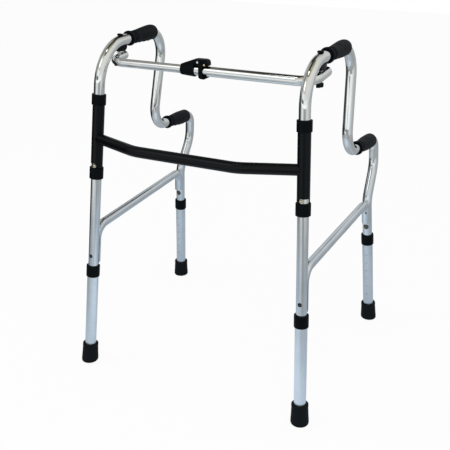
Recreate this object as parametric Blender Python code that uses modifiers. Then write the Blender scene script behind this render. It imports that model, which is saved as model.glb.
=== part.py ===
"""Folding two-level walking frame, at rest and standing on z = 0.

Metres, +Z up, +X to the walker's right side in the picture, -Y to the front (the
cross brace side). side is -1 for the left side frame and +1 for the right one.
"""
import math

import bmesh
import bpy
from mathutils import Matrix, Vector

for old in list(bpy.data.objects):
    bpy.data.objects.remove(old, do_unlink=True)

# Tube stock
TUBE_R = 0.0127          # side frame tube
TUBE_WALL = 0.0012
SLEEVE_R = 0.0143        # leg tubes and hinge sleeves, next stock size up
SLEEVE_WALL = 0.0012
BRACE_R = 0.0111
CROSS_R = 0.0127
BAR_OUT_R = 0.0111       # telescoping top bar, outer half
BAR_OUT_WALL = 0.0010
BAR_IN_R = 0.0095        # telescoping top bar, inner half
BAR_IN_WALL = 0.0012
GAP = 0.0003             # clearance between neighbouring pieces
RUN = 0.0002             # extra clearance where a tube slides or turns

# Side frame plane: x = HALF_WIDTH - LEAN_IN * z + SPLAY * y
HALF_WIDTH = 0.3064
LEAN_IN = 0.0658
SPLAY = 0.0327
FRONT_Y = -0.2678        # front leg line on the floor, and its lean back
FRONT_LEAN = 0.0918
REAR_Y = 0.2678          # rear leg line on the floor, and its lean forward
REAR_LEAN = 0.0875
TOP_Z = 0.8163           # straight top run of the side tube
TOP_REAR_Y = 0.1061      # corner behind the upper grip
DIP_Y, DIP_Z = 0.0610, 0.5600      # corner in front of the lower grip
LOW_REAR_Y, LOW_REAR_Z = 0.2869, 0.5382
KINK_Z = 0.3626          # where the tube joins the straight rear leg
TUBE_END_Z = 0.0750      # lower ends of the side tube, inside the leg tubes
BEND_TOP = 0.0958
BEND_REAR = 0.0639
BEND_DIP = 0.0433
BEND_LOW = 0.0319
BEND_KINK = 0.1236
BEND_STEPS = 5

# Hinge sleeves and cross brace
SLEEVE_LOW_Z = 0.5090
SLEEVE_DROP = 0.1113     # upper end of the sleeve below the top run
SLEEVE_HIGH_Z = TOP_Z - SLEEVE_DROP
BUSH_R = SLEEVE_R + 0.00245
BUSH_OVER = 0.0040       # bush past the sleeve end
BUSH_END_GAP = 0.0005    # sleeve end to the lip inside the bush
BUSH_LIP = BUSH_OVER - BUSH_END_GAP
BUSH_LOW = (SLEEVE_LOW_Z - BUSH_OVER, SLEEVE_LOW_Z + 0.0242)
BUSH_HIGH = (SLEEVE_HIGH_Z - 0.0210, SLEEVE_HIGH_Z + BUSH_OVER)
BUSH_EDGE = 0.0012
SLOT_Z = SLEEVE_LOW_Z + 0.0298   # window that the fold button runs in
SLOT_HEIGHT = 0.0100
SLOT_FROM, SLOT_TO = -28.0, 102.0   # degrees from the front towards the outside
CROSS_SHARE = 0.4847      # height of the brace along the sleeve
CROSS_Z = SLEEVE_LOW_Z + CROSS_SHARE * (SLEEVE_HIGH_Z - SLEEVE_LOW_Z)
CROSS_BOW = 0.0493       # how far the brace bows forward
CROSS_CORNER_X = 0.1280
CROSS_BEND = 0.0900

# Side braces
BRACE_Z = 0.3740
BRACE_OFFSET = 0.0115    # tail centre line from the leg centre line
BRACE_FRONT_END_Z = 0.2810
BRACE_REAR_END_Z = 0.3150
BRACE_FRONT_BEND = 0.0360
BRACE_REAR_BEND = 0.0300

# Legs
LEG_TUBE_TOP = 0.2711
COLLAR_R = SLEEVE_R + 0.0026
COLLAR_OVER = 0.0046     # collar past the leg tube's upper end
COLLAR_END_GAP = 0.0006
COLLAR_LIP = COLLAR_OVER - COLLAR_END_GAP
COLLAR_Z = (LEG_TUBE_TOP - 0.0255, LEG_TUBE_TOP + COLLAR_OVER)
COLLAR_EDGE = 0.0014
FOOT_TOP_R = SLEEVE_R + 0.0057
FOOT_BASE_R = FOOT_TOP_R + 0.0015
FOOT_BEAD_Z = 0.0110     # upper edge of the wider bead round the base
FOOT_BEAD_RISE = 0.0060
FOOT_UNDER = 0.0045      # rubber below the floor before it is cut level
FOOT_TOP_Z = 0.0510
FOOT_FLOOR = 0.0120      # rubber under the leg tube
HOLE_FIRST_Z = 0.0885
HOLE_PITCH = 0.0254
HOLE_COUNT = 6
HOLE_R = 0.0033

# Snap buttons
LEG_BUTTON_Z = 0.3030
FRONT_BUTTON = (0.0050, 0.0030)    # hole and button radius
REAR_BUTTON = (0.0062, 0.0042)
LEG_BUTTON_OUT = 0.0011            # how far the dome stands out of the tube
BORE_R = TUBE_R - TUBE_WALL
LEG_BUTTON_SEAT = BORE_R - 0.0033  # face of the button's flange from the tube axis
FOLD_BUTTON_R = 0.0035
FOLD_BUTTON_ANGLE = -8.0
FOLD_BUTTON_SEAT = BORE_R - 0.0017
FOLD_BUTTON_OUT = 0.0009
FLANGE = 0.0008
LEAF = 0.0007            # thickness of the leaf springs
LEAF_REST = BORE_R - 0.0017        # far arm of a leaf from the tube axis
FOLD_LEAF = (0.0055, 0.0320)       # width and depth of a leaf
LEG_LEAF = (0.0070, 0.0340)

# Grips
UPPER_GRIP_Y, UPPER_GRIP_LENGTH = -0.0720, 0.1225
LOWER_GRIP_Y, LOWER_GRIP_LENGTH = 0.1370, 0.1150
GRIP_R = TUBE_R + 0.0035           # body of a grip, swelling and ends follow from it
GRIP_SWELL = 0.0003
GRIP_FLANGE_R = GRIP_R + 0.0014
GRIP_GROOVE_R = GRIP_R - 0.0008
GRIP_EDGE = 0.0010                 # rounding of a flange
GRIP_FLANGE = 0.0045               # flange between its roundings
GRIP_RIB = 0.0040                  # pitch of the ribs beside the front flange

# Top bar
BAR_Y = -0.1555
BAR_DROP = 0.0403        # bar centre line below the top run
BAR_Z = TOP_Z - BAR_DROP
BOLT_Y = -0.1133
BAR_BEND = 0.0380
RIGHT_TIP_Y = -0.0535
LEFT_TIP_Y = -0.0800
BAR_MOUTH_X = -0.0497    # open end of the outer half, inside the latch
BAR_INNER_END_X = 0.0300
STOP_PLUG_X = (0.1200, 0.1280)

# Pivot bolts, along each front leg's axis direction
BOLT_R = 0.0030
BOLT_HOLE_R = 0.0034
BOLT_HEAD = (0.0060, 0.0024)
BOLT_HEAD_LIFT = 0.0009   # keeps the head's rim off the tube where the top starts to bend
WASHER_R = 0.0062
WASHER = 0.0014
WASHER_RISE = 0.0009     # washer above the top of the bar end
WASHER_PLAY = 0.0006     # washer bore round the bolt
OPEN_PIVOT_GAP = 0.0024  # left bolt and saddle above the stud that stays with the bar
BAR_HOLE_PLAY = 0.0014   # bolt hole of a bar half round the bolt
SADDLE_HALF_X = 0.0085
KNOB = 0.0065
KNOB_DROP = 0.0026       # knob below the underside of the bar end

# Latch
LATCH_LEFT_X, LATCH_SLEEVE_X, LATCH_RIGHT_X = -0.0576, -0.0234, 0.0113
LATCH_R = (BAR_OUT_R + 0.0007, BAR_OUT_R + 0.0030)
LATCH_CREST = BAR_OUT_R + 0.0151
LATCH_HALF_Y = BAR_OUT_R - GAP
LATCH_PIN = (-0.0114, BAR_OUT_R + 0.0094)    # x, and height above the bar axis
LATCH_RIVET = (0.0032, BAR_OUT_R + 0.0042)
PIN_R = 0.0016
PIN_HEAD = 0.0009
LEVER_INSIDE = BAR_OUT_R + 0.0007
LEVER_HALF_Y = LEVER_INSIDE + 0.0024

part = bpy.data.collections.new("folding_walker")
cutters = bpy.data.collections.new("cutters")
bpy.context.scene.collection.children.link(part)
bpy.context.scene.collection.children.link(cutters)
cutters.hide_render = True


# Materials

def material(name, colour, metallic, roughness):
    made = bpy.data.materials.new(name)
    made.use_nodes = True
    shader = made.node_tree.nodes["Principled BSDF"]
    shader.inputs["Base Color"].default_value = (*colour, 1.0)
    shader.inputs["Metallic"].default_value = metallic
    shader.inputs["Roughness"].default_value = roughness
    return made


POLISHED = material("polished_aluminium", (0.80, 0.80, 0.80), 1.0, 0.14)
SATIN = material("satin_aluminium", (0.62, 0.68, 0.74), 1.0, 0.38)
BLACK_TUBE = material("black_coated_aluminium", (0.012, 0.014, 0.016), 0.2, 0.32)
PLASTIC = material("black_moulded_plastic", (0.012, 0.013, 0.015), 0.0, 0.48)
RUBBER = material("black_rubber", (0.015, 0.016, 0.017), 0.0, 0.75)
FOAM = material("black_grip_rubber", (0.014, 0.016, 0.018), 0.0, 0.68)
STEEL = material("bright_steel", (0.75, 0.75, 0.74), 1.0, 0.22)
SPRING = material("spring_steel", (0.30, 0.31, 0.33), 1.0, 0.40)
BRASS = material("brass", (0.80, 0.66, 0.38), 1.0, 0.28)
GREY_PLASTIC = material("grey_moulded_plastic", (0.55, 0.56, 0.57), 0.0, 0.45)
SHARP = math.radians(34)   # edges turning more than this stay sharp


# Points and axes

def on_side(y, z, side):
    return Vector((side * (HALF_WIDTH - LEAN_IN * z + SPLAY * y), y, z))


def front_y(z):
    return FRONT_Y + FRONT_LEAN * z


def rear_y(z):
    return REAR_Y - REAR_LEAN * z


def leg_point(front, z, side):
    return on_side(front_y(z) if front else rear_y(z), z, side)


def leg_direction(front, side):
    return (leg_point(front, 0.5, side) - leg_point(front, 0.0, side)).normalized()


def frame_at(origin, up, back=Vector((0.0, 1.0, 0.0))):
    """Matrix whose Z is up and whose Y is the part of back across it."""
    y = (back - up * back.dot(up)).normalized()
    x = y.cross(up)
    turned = Matrix((x, y, up)).transposed().to_4x4()
    return Matrix.Translation(origin) @ turned


def leg_frame(front, z, side):
    return frame_at(leg_point(front, z, side), leg_direction(front, side))


def rounded(points, radii, steps):
    """The polyline with each inner corner replaced by an arc of that radius."""
    path = [points[0]]
    for i, radius in enumerate(radii):
        before, corner, after = points[i], points[i + 1], points[i + 2]
        a = (before - corner).normalized()
        b = (after - corner).normalized()
        half = a.angle(b) / 2
        centre = corner + (a + b).normalized() * (radius / math.sin(half))
        start = corner + a * (radius / math.tan(half)) - centre
        end = corner + b * (radius / math.tan(half)) - centre
        count = steps if half < 1.2 else 3
        for k in range(count + 1):
            path.append(centre + start.slerp(end, k / count) * radius)
    path.append(points[-1])
    return path


def side_path(side):
    """Centre line of one side tube, front foot to rear foot."""
    corners = [
        leg_point(True, TUBE_END_Z, side),
        on_side(front_y(TOP_Z), TOP_Z, side),
        on_side(TOP_REAR_Y, TOP_Z, side),
        on_side(DIP_Y, DIP_Z, side),
        on_side(LOW_REAR_Y, LOW_REAR_Z, side),
        leg_point(False, KINK_Z, side),
        leg_point(False, TUBE_END_Z, side),
    ]
    radii = [BEND_TOP, BEND_REAR, BEND_DIP, BEND_LOW, BEND_KINK]
    return rounded(corners, radii, BEND_STEPS)


def length_at(path, y, low_z):
    """Length along the path at which it first passes y above low_z."""
    run = 0.0
    for a, b in zip(path, path[1:]):
        span = (b - a).length
        if a.y < y <= b.y and min(a.z, b.z) > low_z:
            return run + span * (y - a.y) / (b.y - a.y)
        run += span
    return run


def at_length(path, wanted):
    run = 0.0
    for a, b in zip(path, path[1:]):
        span = (b - a).length
        if run + span >= wanted:
            return a.lerp(b, (wanted - run) / span)
        run += span
    return path[-1].copy()


# Shapes

def add(name, mesh, matrix, shader, collection=part):
    made = bpy.data.objects.new(name, mesh)
    made.matrix_world = matrix
    collection.objects.link(made)
    if collection is cutters:
        made.hide_render = True
        made.display_type = "WIRE"
    else:
        mesh.materials.clear()
        mesh.materials.append(shader)
    return made


def swept(name, path, radius, resolution, scales=None, caps=True):
    """Mesh of a round bar swept along a polyline."""
    curve = bpy.data.curves.new(name, "CURVE")
    curve.dimensions = "3D"
    curve.bevel_depth = radius
    curve.bevel_resolution = resolution
    curve.use_fill_caps = caps
    spline = curve.splines.new("POLY")
    spline.points.add(len(path) - 1)
    for i, point in enumerate(path):
        spline.points[i].co = (*point, 1.0)
        spline.points[i].radius = scales[i] if scales else 1.0
    helper = bpy.data.objects.new(name + "_curve", curve)
    cutters.objects.link(helper)
    graph = bpy.context.evaluated_depsgraph_get()
    mesh = bpy.data.meshes.new_from_object(helper.evaluated_get(graph))
    bpy.data.objects.remove(helper, do_unlink=True)
    work = bmesh.new()
    work.from_mesh(mesh)
    bmesh.ops.remove_doubles(work, verts=work.verts, dist=0.00001)
    bmesh.ops.recalc_face_normals(work, faces=work.faces)
    work.to_mesh(mesh)
    work.free()
    return mesh


def hollow_tube(name, path, radius, wall, resolution, shader):
    mesh = swept(name, path, radius, resolution, caps=False)
    made = add(name, mesh, Matrix.Identity(4), shader)
    shell = made.modifiers.new("wall", "SOLIDIFY")
    shell.thickness = wall
    shell.offset = -1.0
    shell.use_even_offset = True
    return made


def lathe(name, profile, steps, matrix, shader, collection=part):
    """Solid of revolution about local Z. A profile that leaves the axis is a ring."""
    count = len(profile)
    edges = [(i, i + 1) for i in range(count - 1)]
    if profile[0][0] > 1e-6:
        edges.append((count - 1, 0))
    mesh = bpy.data.meshes.new(name)
    mesh.from_pydata([(r, 0.0, z) for r, z in profile], edges, [])
    made = add(name, mesh, matrix, shader, collection)
    turn = made.modifiers.new("turn", "SCREW")
    turn.steps = steps
    turn.render_steps = steps
    turn.use_merge_vertices = True
    turn.merge_threshold = 0.00001
    turn.use_smooth_shade = False
    return made


def rod(name, radius, low, high, sides, matrix, shader=None, collection=cutters):
    """Cylinder along local Z from low to high."""
    work = bmesh.new()
    bmesh.ops.create_cone(
        work, cap_ends=True, segments=sides, radius1=radius, radius2=radius,
        depth=high - low, matrix=Matrix.Translation((0, 0, (low + high) / 2)),
    )
    mesh = bpy.data.meshes.new(name)
    work.to_mesh(mesh)
    work.free()
    return add(name, mesh, matrix, shader, collection)


def plate(name, outline, half, matrix, shader=None, collection=part):
    """Flat outline in local XY, thickened by half on each side along Z."""
    curve = bpy.data.curves.new(name, "CURVE")
    curve.dimensions = "2D"
    curve.fill_mode = "BOTH"
    curve.extrude = half
    spline = curve.splines.new("POLY")
    spline.points.add(len(outline) - 1)
    for i, (x, y) in enumerate(outline):
        spline.points[i].co = (x, y, 0.0, 1.0)
    spline.use_cyclic_u = True
    helper = bpy.data.objects.new(name + "_curve", curve)
    cutters.objects.link(helper)
    graph = bpy.context.evaluated_depsgraph_get()
    mesh = bpy.data.meshes.new_from_object(helper.evaluated_get(graph))
    bpy.data.objects.remove(helper, do_unlink=True)
    work = bmesh.new()
    work.from_mesh(mesh)
    bmesh.ops.remove_doubles(work, verts=work.verts, dist=0.00001)
    bmesh.ops.recalc_face_normals(work, faces=work.faces)
    work.to_mesh(mesh)
    work.free()
    return add(name, mesh, matrix, shader, collection)


def boolean(target, tool, operation="DIFFERENCE"):
    step = target.modifiers.new(tool.name, "BOOLEAN")
    step.operation = operation
    step.solver = "EXACT"
    step.object = tool
    return target


def across(radius, sides):
    """Corner radius of a polygon whose flats clear that radius."""
    return radius / math.cos(math.pi / sides)


def smooth_group():
    """Node group that shades faces smooth and keeps the edges over SHARP crisp."""
    group = bpy.data.node_groups.new("smooth_round_pieces", "GeometryNodeTree")
    for way in ("INPUT", "OUTPUT"):
        group.interface.new_socket("Geometry", in_out=way,
                                   socket_type="NodeSocketGeometry")
    start, end = (group.nodes.new("NodeGroup" + way) for way in ("Input", "Output"))
    faces = group.nodes.new("GeometryNodeSetShadeSmooth")
    faces.domain = "FACE"
    edges = group.nodes.new("GeometryNodeSetShadeSmooth")
    edges.domain = "EDGE"
    turn = group.nodes.new("GeometryNodeInputMeshEdgeAngle")
    below = group.nodes.new("FunctionNodeCompare")
    below.data_type, below.operation = "FLOAT", "LESS_THAN"
    below.inputs[1].default_value = SHARP
    link = group.links.new
    link(start.outputs[0], faces.inputs["Geometry"])
    link(faces.outputs[0], edges.inputs["Geometry"])
    link(turn.outputs["Unsigned Angle"], below.inputs[0])
    link(below.outputs[0], edges.inputs["Shade Smooth"])
    link(edges.outputs[0], end.inputs[0])
    return group


# Joint axes, as empties that carry the moving pieces

def axis_empty(name, matrix, parent=None):
    made = bpy.data.objects.new(name, None)
    made.empty_display_size = 0.03
    made.matrix_world = matrix
    part.objects.link(made)
    if parent:
        carry(parent, made)
    return made


def carry(parent, *children):
    bpy.context.view_layer.update()
    for child in children:
        world = child.matrix_world.copy()
        child.parent = parent
        child.matrix_parent_inverse = parent.matrix_world.inverted()
        child.matrix_world = world


SIDES = (("left", -1), ("right", 1))
STEPS_BIG = 20
PATHS = {side: side_path(side) for _, side in SIDES}
BAR_X = on_side(BOLT_Y, BAR_Z, 1).x


def sleeve_frame(z, side):
    return leg_frame(True, z, side)


def bolt_frame(side):
    """Origin where the bolt crosses the bar's centre line, Z along the leg axis."""
    point = Vector((side * BAR_X, BOLT_Y, BAR_Z))
    return frame_at(point, leg_direction(True, side))


def grown_tube(name, side):
    """The side tube grown by the clearance, to cut what lies against it."""
    mesh = swept(name, PATHS[side], TUBE_R + GAP, 4)
    return add(name, mesh, Matrix.Identity(4), None, cutters)


GROWN = {side: grown_tube(word + "_tube_cutter", side) for word, side in SIDES}


# Root: cross brace and hinge sleeves

def slot_cutter(name, side):
    """Sector of a ring, cut through the sleeve wall on its front and outside."""
    outline = []
    turns = 10
    for k in range(turns + 1):
        angle = math.radians(SLOT_FROM + (SLOT_TO - SLOT_FROM) * k / turns)
        outline.append((side * math.sin(angle), -math.cos(angle)))
    outer, inner = SLEEVE_R + 9 * GAP, TUBE_R - 4 * GAP
    ring = [(x * outer, y * outer) for x, y in outline]
    ring += [(x * inner, y * inner) for x, y in reversed(outline)]
    matrix = sleeve_frame(SLOT_Z, side)
    return plate(name, ring, SLOT_HEIGHT / 2, matrix, None, cutters)


def hinge_sleeve(word, side):
    low = leg_point(True, SLEEVE_LOW_Z, side)
    high = leg_point(True, SLEEVE_HIGH_Z, side)
    length = (high - low).length
    inner = SLEEVE_R - SLEEVE_WALL
    profile = [(SLEEVE_R, length), (SLEEVE_R, 0.0), (inner, 0.0), (inner, length)]
    made = lathe(word + "_hinge_sleeve", profile, STEPS_BIG,
                 sleeve_frame(SLEEVE_LOW_Z, side), BLACK_TUBE)
    return boolean(made, slot_cutter(word + "_slot_cutter", side))


def sleeve_bush(name, span, lip_low, side):
    """Cap bush over a sleeve end, with a lip that the side tube turns in."""
    low = leg_point(True, span[0], side)
    height = (leg_point(True, span[1], side) - low).length
    over = across(SLEEVE_R + GAP, STEPS_BIG)
    bore = across(TUBE_R + RUN, STEPS_BIG)
    edge = BUSH_EDGE
    if lip_low:
        profile = [
            (BUSH_R - edge, height), (BUSH_R, height - edge), (BUSH_R, edge),
            (BUSH_R - edge, 0.0), (bore, 0.0), (bore, BUSH_LIP),
            (over, BUSH_LIP), (over, height),
        ]
    else:
        profile = [
            (BUSH_R - edge, height), (BUSH_R, height - edge), (BUSH_R, edge),
            (BUSH_R - edge, 0.0), (over, 0.0), (over, height - BUSH_LIP),
            (bore, height - BUSH_LIP), (bore, height),
        ]
    return lathe(name, profile, STEPS_BIG, sleeve_frame(span[0], side), PLASTIC)


def cross_brace():
    ends = [leg_point(True, CROSS_Z, side) for side in (-1, 1)]
    y = ends[0].y - CROSS_BOW
    corners = [
        ends[0],
        Vector((-CROSS_CORNER_X, y, CROSS_Z)),
        Vector((CROSS_CORNER_X, y, CROSS_Z)),
        ends[1],
    ]
    path = rounded(corners, [CROSS_BEND, CROSS_BEND], 5)
    made = hollow_tube("cross_brace", path, CROSS_R, TUBE_WALL, 4, BLACK_TUBE)
    for word, side in SIDES:
        matrix = sleeve_frame(CROSS_Z, side)
        tool = rod(word + "_brace_end_cutter", across(SLEEVE_R + GAP, STEPS_BIG),
                   -0.04, 0.04, STEPS_BIG, matrix)
        boolean(made, tool)
    return made


# Side frames

def radial_frame(front, z, side, angle=0.0):
    """Frame on a leg axis with Z pointing out of the tube, turned from the front."""
    base = leg_frame(front, z, side)
    turn = math.radians(angle)
    out = base.to_3x3() @ Vector((side * math.sin(turn), -math.cos(turn), 0.0))
    return frame_at(base.translation, out, leg_direction(front, side))


def side_tube(word, side):
    made = hollow_tube(word + "_side_tube", PATHS[side], TUBE_R, TUBE_WALL, 4, POLISHED)
    reach = 1.5 * TUBE_R
    boolean(made, rod(word + "_bolt_cutter", BOLT_HOLE_R, 0.1 * BAR_DROP, 1.5 * BAR_DROP,
                      10, bolt_frame(side)))
    boolean(made, rod(word + "_fold_hole_cutter", FOLD_BUTTON_R + GAP, TUBE_R / 3, reach,
                      10, radial_frame(True, SLOT_Z, side, FOLD_BUTTON_ANGLE)))
    for front, sizes in ((True, FRONT_BUTTON), (False, REAR_BUTTON)):
        label = word + ("_front" if front else "_rear")
        boolean(made, rod(label + "_button_cutter", sizes[0], TUBE_R / 3, reach, 12,
                          radial_frame(front, LEG_BUTTON_Z, side)))
    return made


def brace(word, side):
    corners = [
        on_side(front_y(BRACE_FRONT_END_Z) + BRACE_OFFSET, BRACE_FRONT_END_Z, side),
        on_side(front_y(BRACE_Z) + BRACE_OFFSET, BRACE_Z, side),
        on_side(rear_y(BRACE_Z) - BRACE_OFFSET, BRACE_Z, side),
        on_side(rear_y(BRACE_REAR_END_Z) - BRACE_OFFSET, BRACE_REAR_END_Z, side),
    ]
    path = rounded(corners, [BRACE_FRONT_BEND, BRACE_REAR_BEND], 4)
    made = hollow_tube(word + "_brace", path, BRACE_R, TUBE_WALL, 4, SATIN)
    return boolean(made, GROWN[side])


def grip(name, side, start, length, rings):
    """Rubber grip that follows the tube, as (share, distance, radius) rings from its start."""
    path = PATHS[side]
    points = [at_length(path, start + length * share + step) for share, step, _ in rings]
    scales = [radius / GRIP_FLANGE_R for _, _, radius in rings]
    mesh = swept(name, points, GRIP_FLANGE_R, 5, scales)
    made = add(name, mesh, Matrix.Identity(4), FOAM)
    return boolean(made, GROWN[side])


def flange(share, first, outer, root):
    """Rings of an end flange: outer radius between two rounded edges, then the root."""
    toward = 1 if share == 0 else -1
    rings = [
        (share, 0.0, outer - GRIP_EDGE), (share, toward * GRIP_EDGE, outer),
        (share, toward * (GRIP_EDGE + GRIP_FLANGE), outer),
        (share, toward * (2 * GRIP_EDGE + GRIP_FLANGE), root),
    ]
    return rings if first else rings[::-1]


def upper_grip(word, side):
    start = length_at(PATHS[side], UPPER_GRIP_Y, 0.7)
    rings = flange(0, True, GRIP_FLANGE_R - GRIP_SWELL, GRIP_GROOVE_R)
    ribs = 2 * GRIP_EDGE + GRIP_FLANGE
    for k in range(3):
        step = ribs + (k + 0.75) * GRIP_RIB
        rings += [(0, step, GRIP_GROOVE_R), (0, step + GRIP_EDGE, GRIP_R),
                  (0, step + GRIP_RIB / 2, GRIP_GROOVE_R)]
    rings += [(0.35, 0.0, GRIP_R), (0.62, 0.0, GRIP_R + GRIP_SWELL), (0.80, 0.0, GRIP_R)]
    rings += flange(1, False, GRIP_FLANGE_R + GRIP_SWELL, GRIP_R)
    return grip(word + "_upper_grip", side, start, UPPER_GRIP_LENGTH, rings)


def lower_grip(word, side):
    start = length_at(PATHS[side], LOWER_GRIP_Y, 0.5)
    rings = flange(0, True, GRIP_FLANGE_R - GRIP_SWELL, GRIP_GROOVE_R)
    rings += [(0.35, 0.0, GRIP_R - GRIP_SWELL), (0.65, 0.0, GRIP_R)]
    rings += flange(1, False, GRIP_FLANGE_R, GRIP_R - GRIP_SWELL)
    return grip(word + "_lower_grip", side, start, LOWER_GRIP_LENGTH, rings)


def saddle_height(side):
    """Underside of the saddle above the bar's centre line."""
    if side > 0:
        return BAR_OUT_R + WASHER_RISE + WASHER + GAP
    return BAR_IN_R + WASHER_RISE + WASHER + OPEN_PIVOT_GAP


def saddle(word, side):
    """Moulded block between the top tube and the bar end, held by the bolt."""
    base = bolt_frame(side)
    low = saddle_height(side)
    under = TOP_Z - BAR_Z - TUBE_R
    outline = [
        (-0.0130, low), (0.0130, low), (0.0205, under - 0.0045),
        (0.0215, under + 0.0070), (-0.0215, under + 0.0050), (-0.0205, under - 0.0075),
    ]
    turned = base @ Matrix(((0, 0, 1, 0), (1, 0, 0, 0), (0, 1, 0, 0), (0, 0, 0, 1)))
    made = plate(word + "_bar_saddle", outline, SADDLE_HALF_X, turned, PLASTIC)
    boolean(made, GROWN[side])
    return boolean(made, rod(word + "_saddle_cutter", BOLT_HOLE_R, 0.0, 1.3 * BAR_DROP, 10,
                             base))


def tube_top_height(side):
    """Height of the side tube's upper surface along the bolt."""
    base = bolt_frame(side)
    path = PATHS[side]
    centre = at_length(path, length_at(path, BOLT_Y + 0.0035, 0.7))
    return (base.inverted() @ centre).z + TUBE_R + GAP


def pivot_bolt(word, side, end):
    """Bolt through the top tube: its capped head shows on top of the tube."""
    top = tube_top_height(side) + BOLT_HEAD_LIFT
    head_r, head_h = BOLT_HEAD
    profile = [
        (0.0, top + head_h), (head_r * 0.75, top + head_h), (head_r, top + head_h * 0.4),
        (head_r, top), (BOLT_R, top), (BOLT_R, end), (0.0, end),
    ]
    return lathe(word + "_pivot_bolt", profile, 12, bolt_frame(side), PLASTIC)


def wing_knob(word, side, bar_r):
    """Two-winged knob under the bar end."""
    hub, reach, half = 0.0072, 0.0150, 0.0038
    outline = [
        (half, -hub * 0.9), (hub, -hub * 0.45), (hub, hub * 0.45), (half, hub * 0.9),
        (half, reach - 0.002), (half * 0.4, reach), (-half * 0.4, reach),
        (-half, reach - 0.002), (-half, hub * 0.9), (-hub, hub * 0.45),
        (-hub, -hub * 0.45), (-half, -hub * 0.9), (-half, -reach + 0.002),
        (-half * 0.4, -reach), (half * 0.4, -reach), (half, -reach + 0.002),
    ]
    high = -(bar_r + KNOB_DROP)
    matrix = bolt_frame(side) @ Matrix.Translation((0, 0, high - KNOB / 2))
    made = plate(word + "_pivot_knob", outline, KNOB / 2, matrix, PLASTIC)
    tool = rod(word + "_knob_cutter", BOLT_HOLE_R, -0.05, 0.0, 10, bolt_frame(side))
    return boolean(made, tool)


def snap_button(name, matrix, radius, flange_r, seat, top, shader):
    profile = [
        (0.0, top), (radius * 0.62, top - 0.0005), (radius, top - 0.0016),
        (radius, seat + FLANGE), (flange_r, seat + FLANGE), (flange_r, seat), (0.0, seat),
    ]
    return lathe(name, profile, 12, matrix, shader)


def leaf_spring(name, matrix, seat, width, depth):
    """V-shaped leaf inside the tube: one arm behind the button, one on the far wall."""
    near = seat - GAP - LEAF / 2
    far = -LEAF_REST
    bend = [
        (near, 0.0060), (near, -0.0060), (0.0035, -depth + 0.006), (0.0, -depth),
        (-0.0045, -depth + 0.005), (far, -0.0080), (far, 0.0060),
    ]
    outline = []
    for sign in (1, -1):
        side_points = []
        for i, (r, z) in enumerate(bend):
            before = Vector(bend[max(i - 1, 0)])
            after = Vector(bend[min(i + 1, len(bend) - 1)])
            along = (after - before).normalized()
            side_points.append((r - sign * along.y * LEAF / 2, z + sign * along.x * LEAF / 2))
        outline += side_points if sign == 1 else side_points[::-1]
    turned = matrix @ Matrix(((0, 0, 1, 0), (0, 1, 0, 0), (1, 0, 0, 0), (0, 0, 0, 1)))
    return plate(name, outline, width / 2, turned, SPRING)


def leg_lock(word, front, side):
    label = word + ("_front" if front else "_rear")
    matrix = radial_frame(front, LEG_BUTTON_Z, side)
    hole, radius = FRONT_BUTTON if front else REAR_BUTTON
    top = TUBE_R + LEG_BUTTON_OUT
    button = snap_button(label + "_snap_button", matrix, radius, hole + 0.0006,
                         LEG_BUTTON_SEAT - FLANGE, top, STEEL)
    spring = leaf_spring(label + "_leaf_spring", matrix, LEG_BUTTON_SEAT - FLANGE,
                         *LEG_LEAF)
    return button, spring


def fold_lock(word, side):
    matrix = radial_frame(True, SLOT_Z, side, FOLD_BUTTON_ANGLE)
    top = SLEEVE_R + FOLD_BUTTON_OUT
    button = snap_button(word + "_fold_button", matrix, FOLD_BUTTON_R,
                         FOLD_BUTTON_R + 0.0013, FOLD_BUTTON_SEAT - FLANGE, top, STEEL)
    spring = leaf_spring(word + "_fold_spring", matrix, FOLD_BUTTON_SEAT - FLANGE,
                         *FOLD_LEAF)
    return button, spring


# Legs

def leg_tube(label, front, side):
    matrix = leg_frame(front, 0.0, side)
    rise = leg_direction(front, side).z
    low, high = FOOT_FLOOR + GAP, LEG_TUBE_TOP / rise
    inner = SLEEVE_R - SLEEVE_WALL
    profile = [(SLEEVE_R, high), (SLEEVE_R, low), (inner, low), (inner, high)]
    made = lathe(label + "_leg_tube", profile, STEPS_BIG, matrix, SATIN)
    face = -1 if not front else 1
    work = bmesh.new()
    for k in range(HOLE_COUNT):
        height = (HOLE_FIRST_Z + HOLE_PITCH * k) / rise
        place = (Matrix.Translation((0, face * (SLEEVE_R - SLEEVE_WALL / 2), height))
                 @ Matrix.Rotation(math.pi / 2, 4, "X"))
        bmesh.ops.create_cone(work, cap_ends=True, segments=8, radius1=HOLE_R,
                              radius2=HOLE_R, depth=6 * SLEEVE_WALL, matrix=place)
    mesh = bpy.data.meshes.new(label + "_holes_cutter")
    work.to_mesh(mesh)
    work.free()
    tool = add(label + "_holes_cutter", mesh, matrix, None, cutters)
    return boolean(made, tool)


def leg_collar(label, front, side):
    low = leg_point(front, COLLAR_Z[0], side)
    height = (leg_point(front, COLLAR_Z[1], side) - low).length
    over = across(SLEEVE_R + GAP, STEPS_BIG)
    bore = across(TUBE_R + RUN, STEPS_BIG)
    edge = COLLAR_EDGE
    profile = [
        (COLLAR_R - edge, height), (COLLAR_R, height - edge), (COLLAR_R, edge),
        (COLLAR_R - edge, 0.0), (over, 0.0), (over, height - COLLAR_LIP),
        (bore, height - COLLAR_LIP), (bore, height),
    ]
    return lathe(label + "_leg_collar", profile, STEPS_BIG,
                 leg_frame(front, COLLAR_Z[0], side), PLASTIC)


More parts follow.
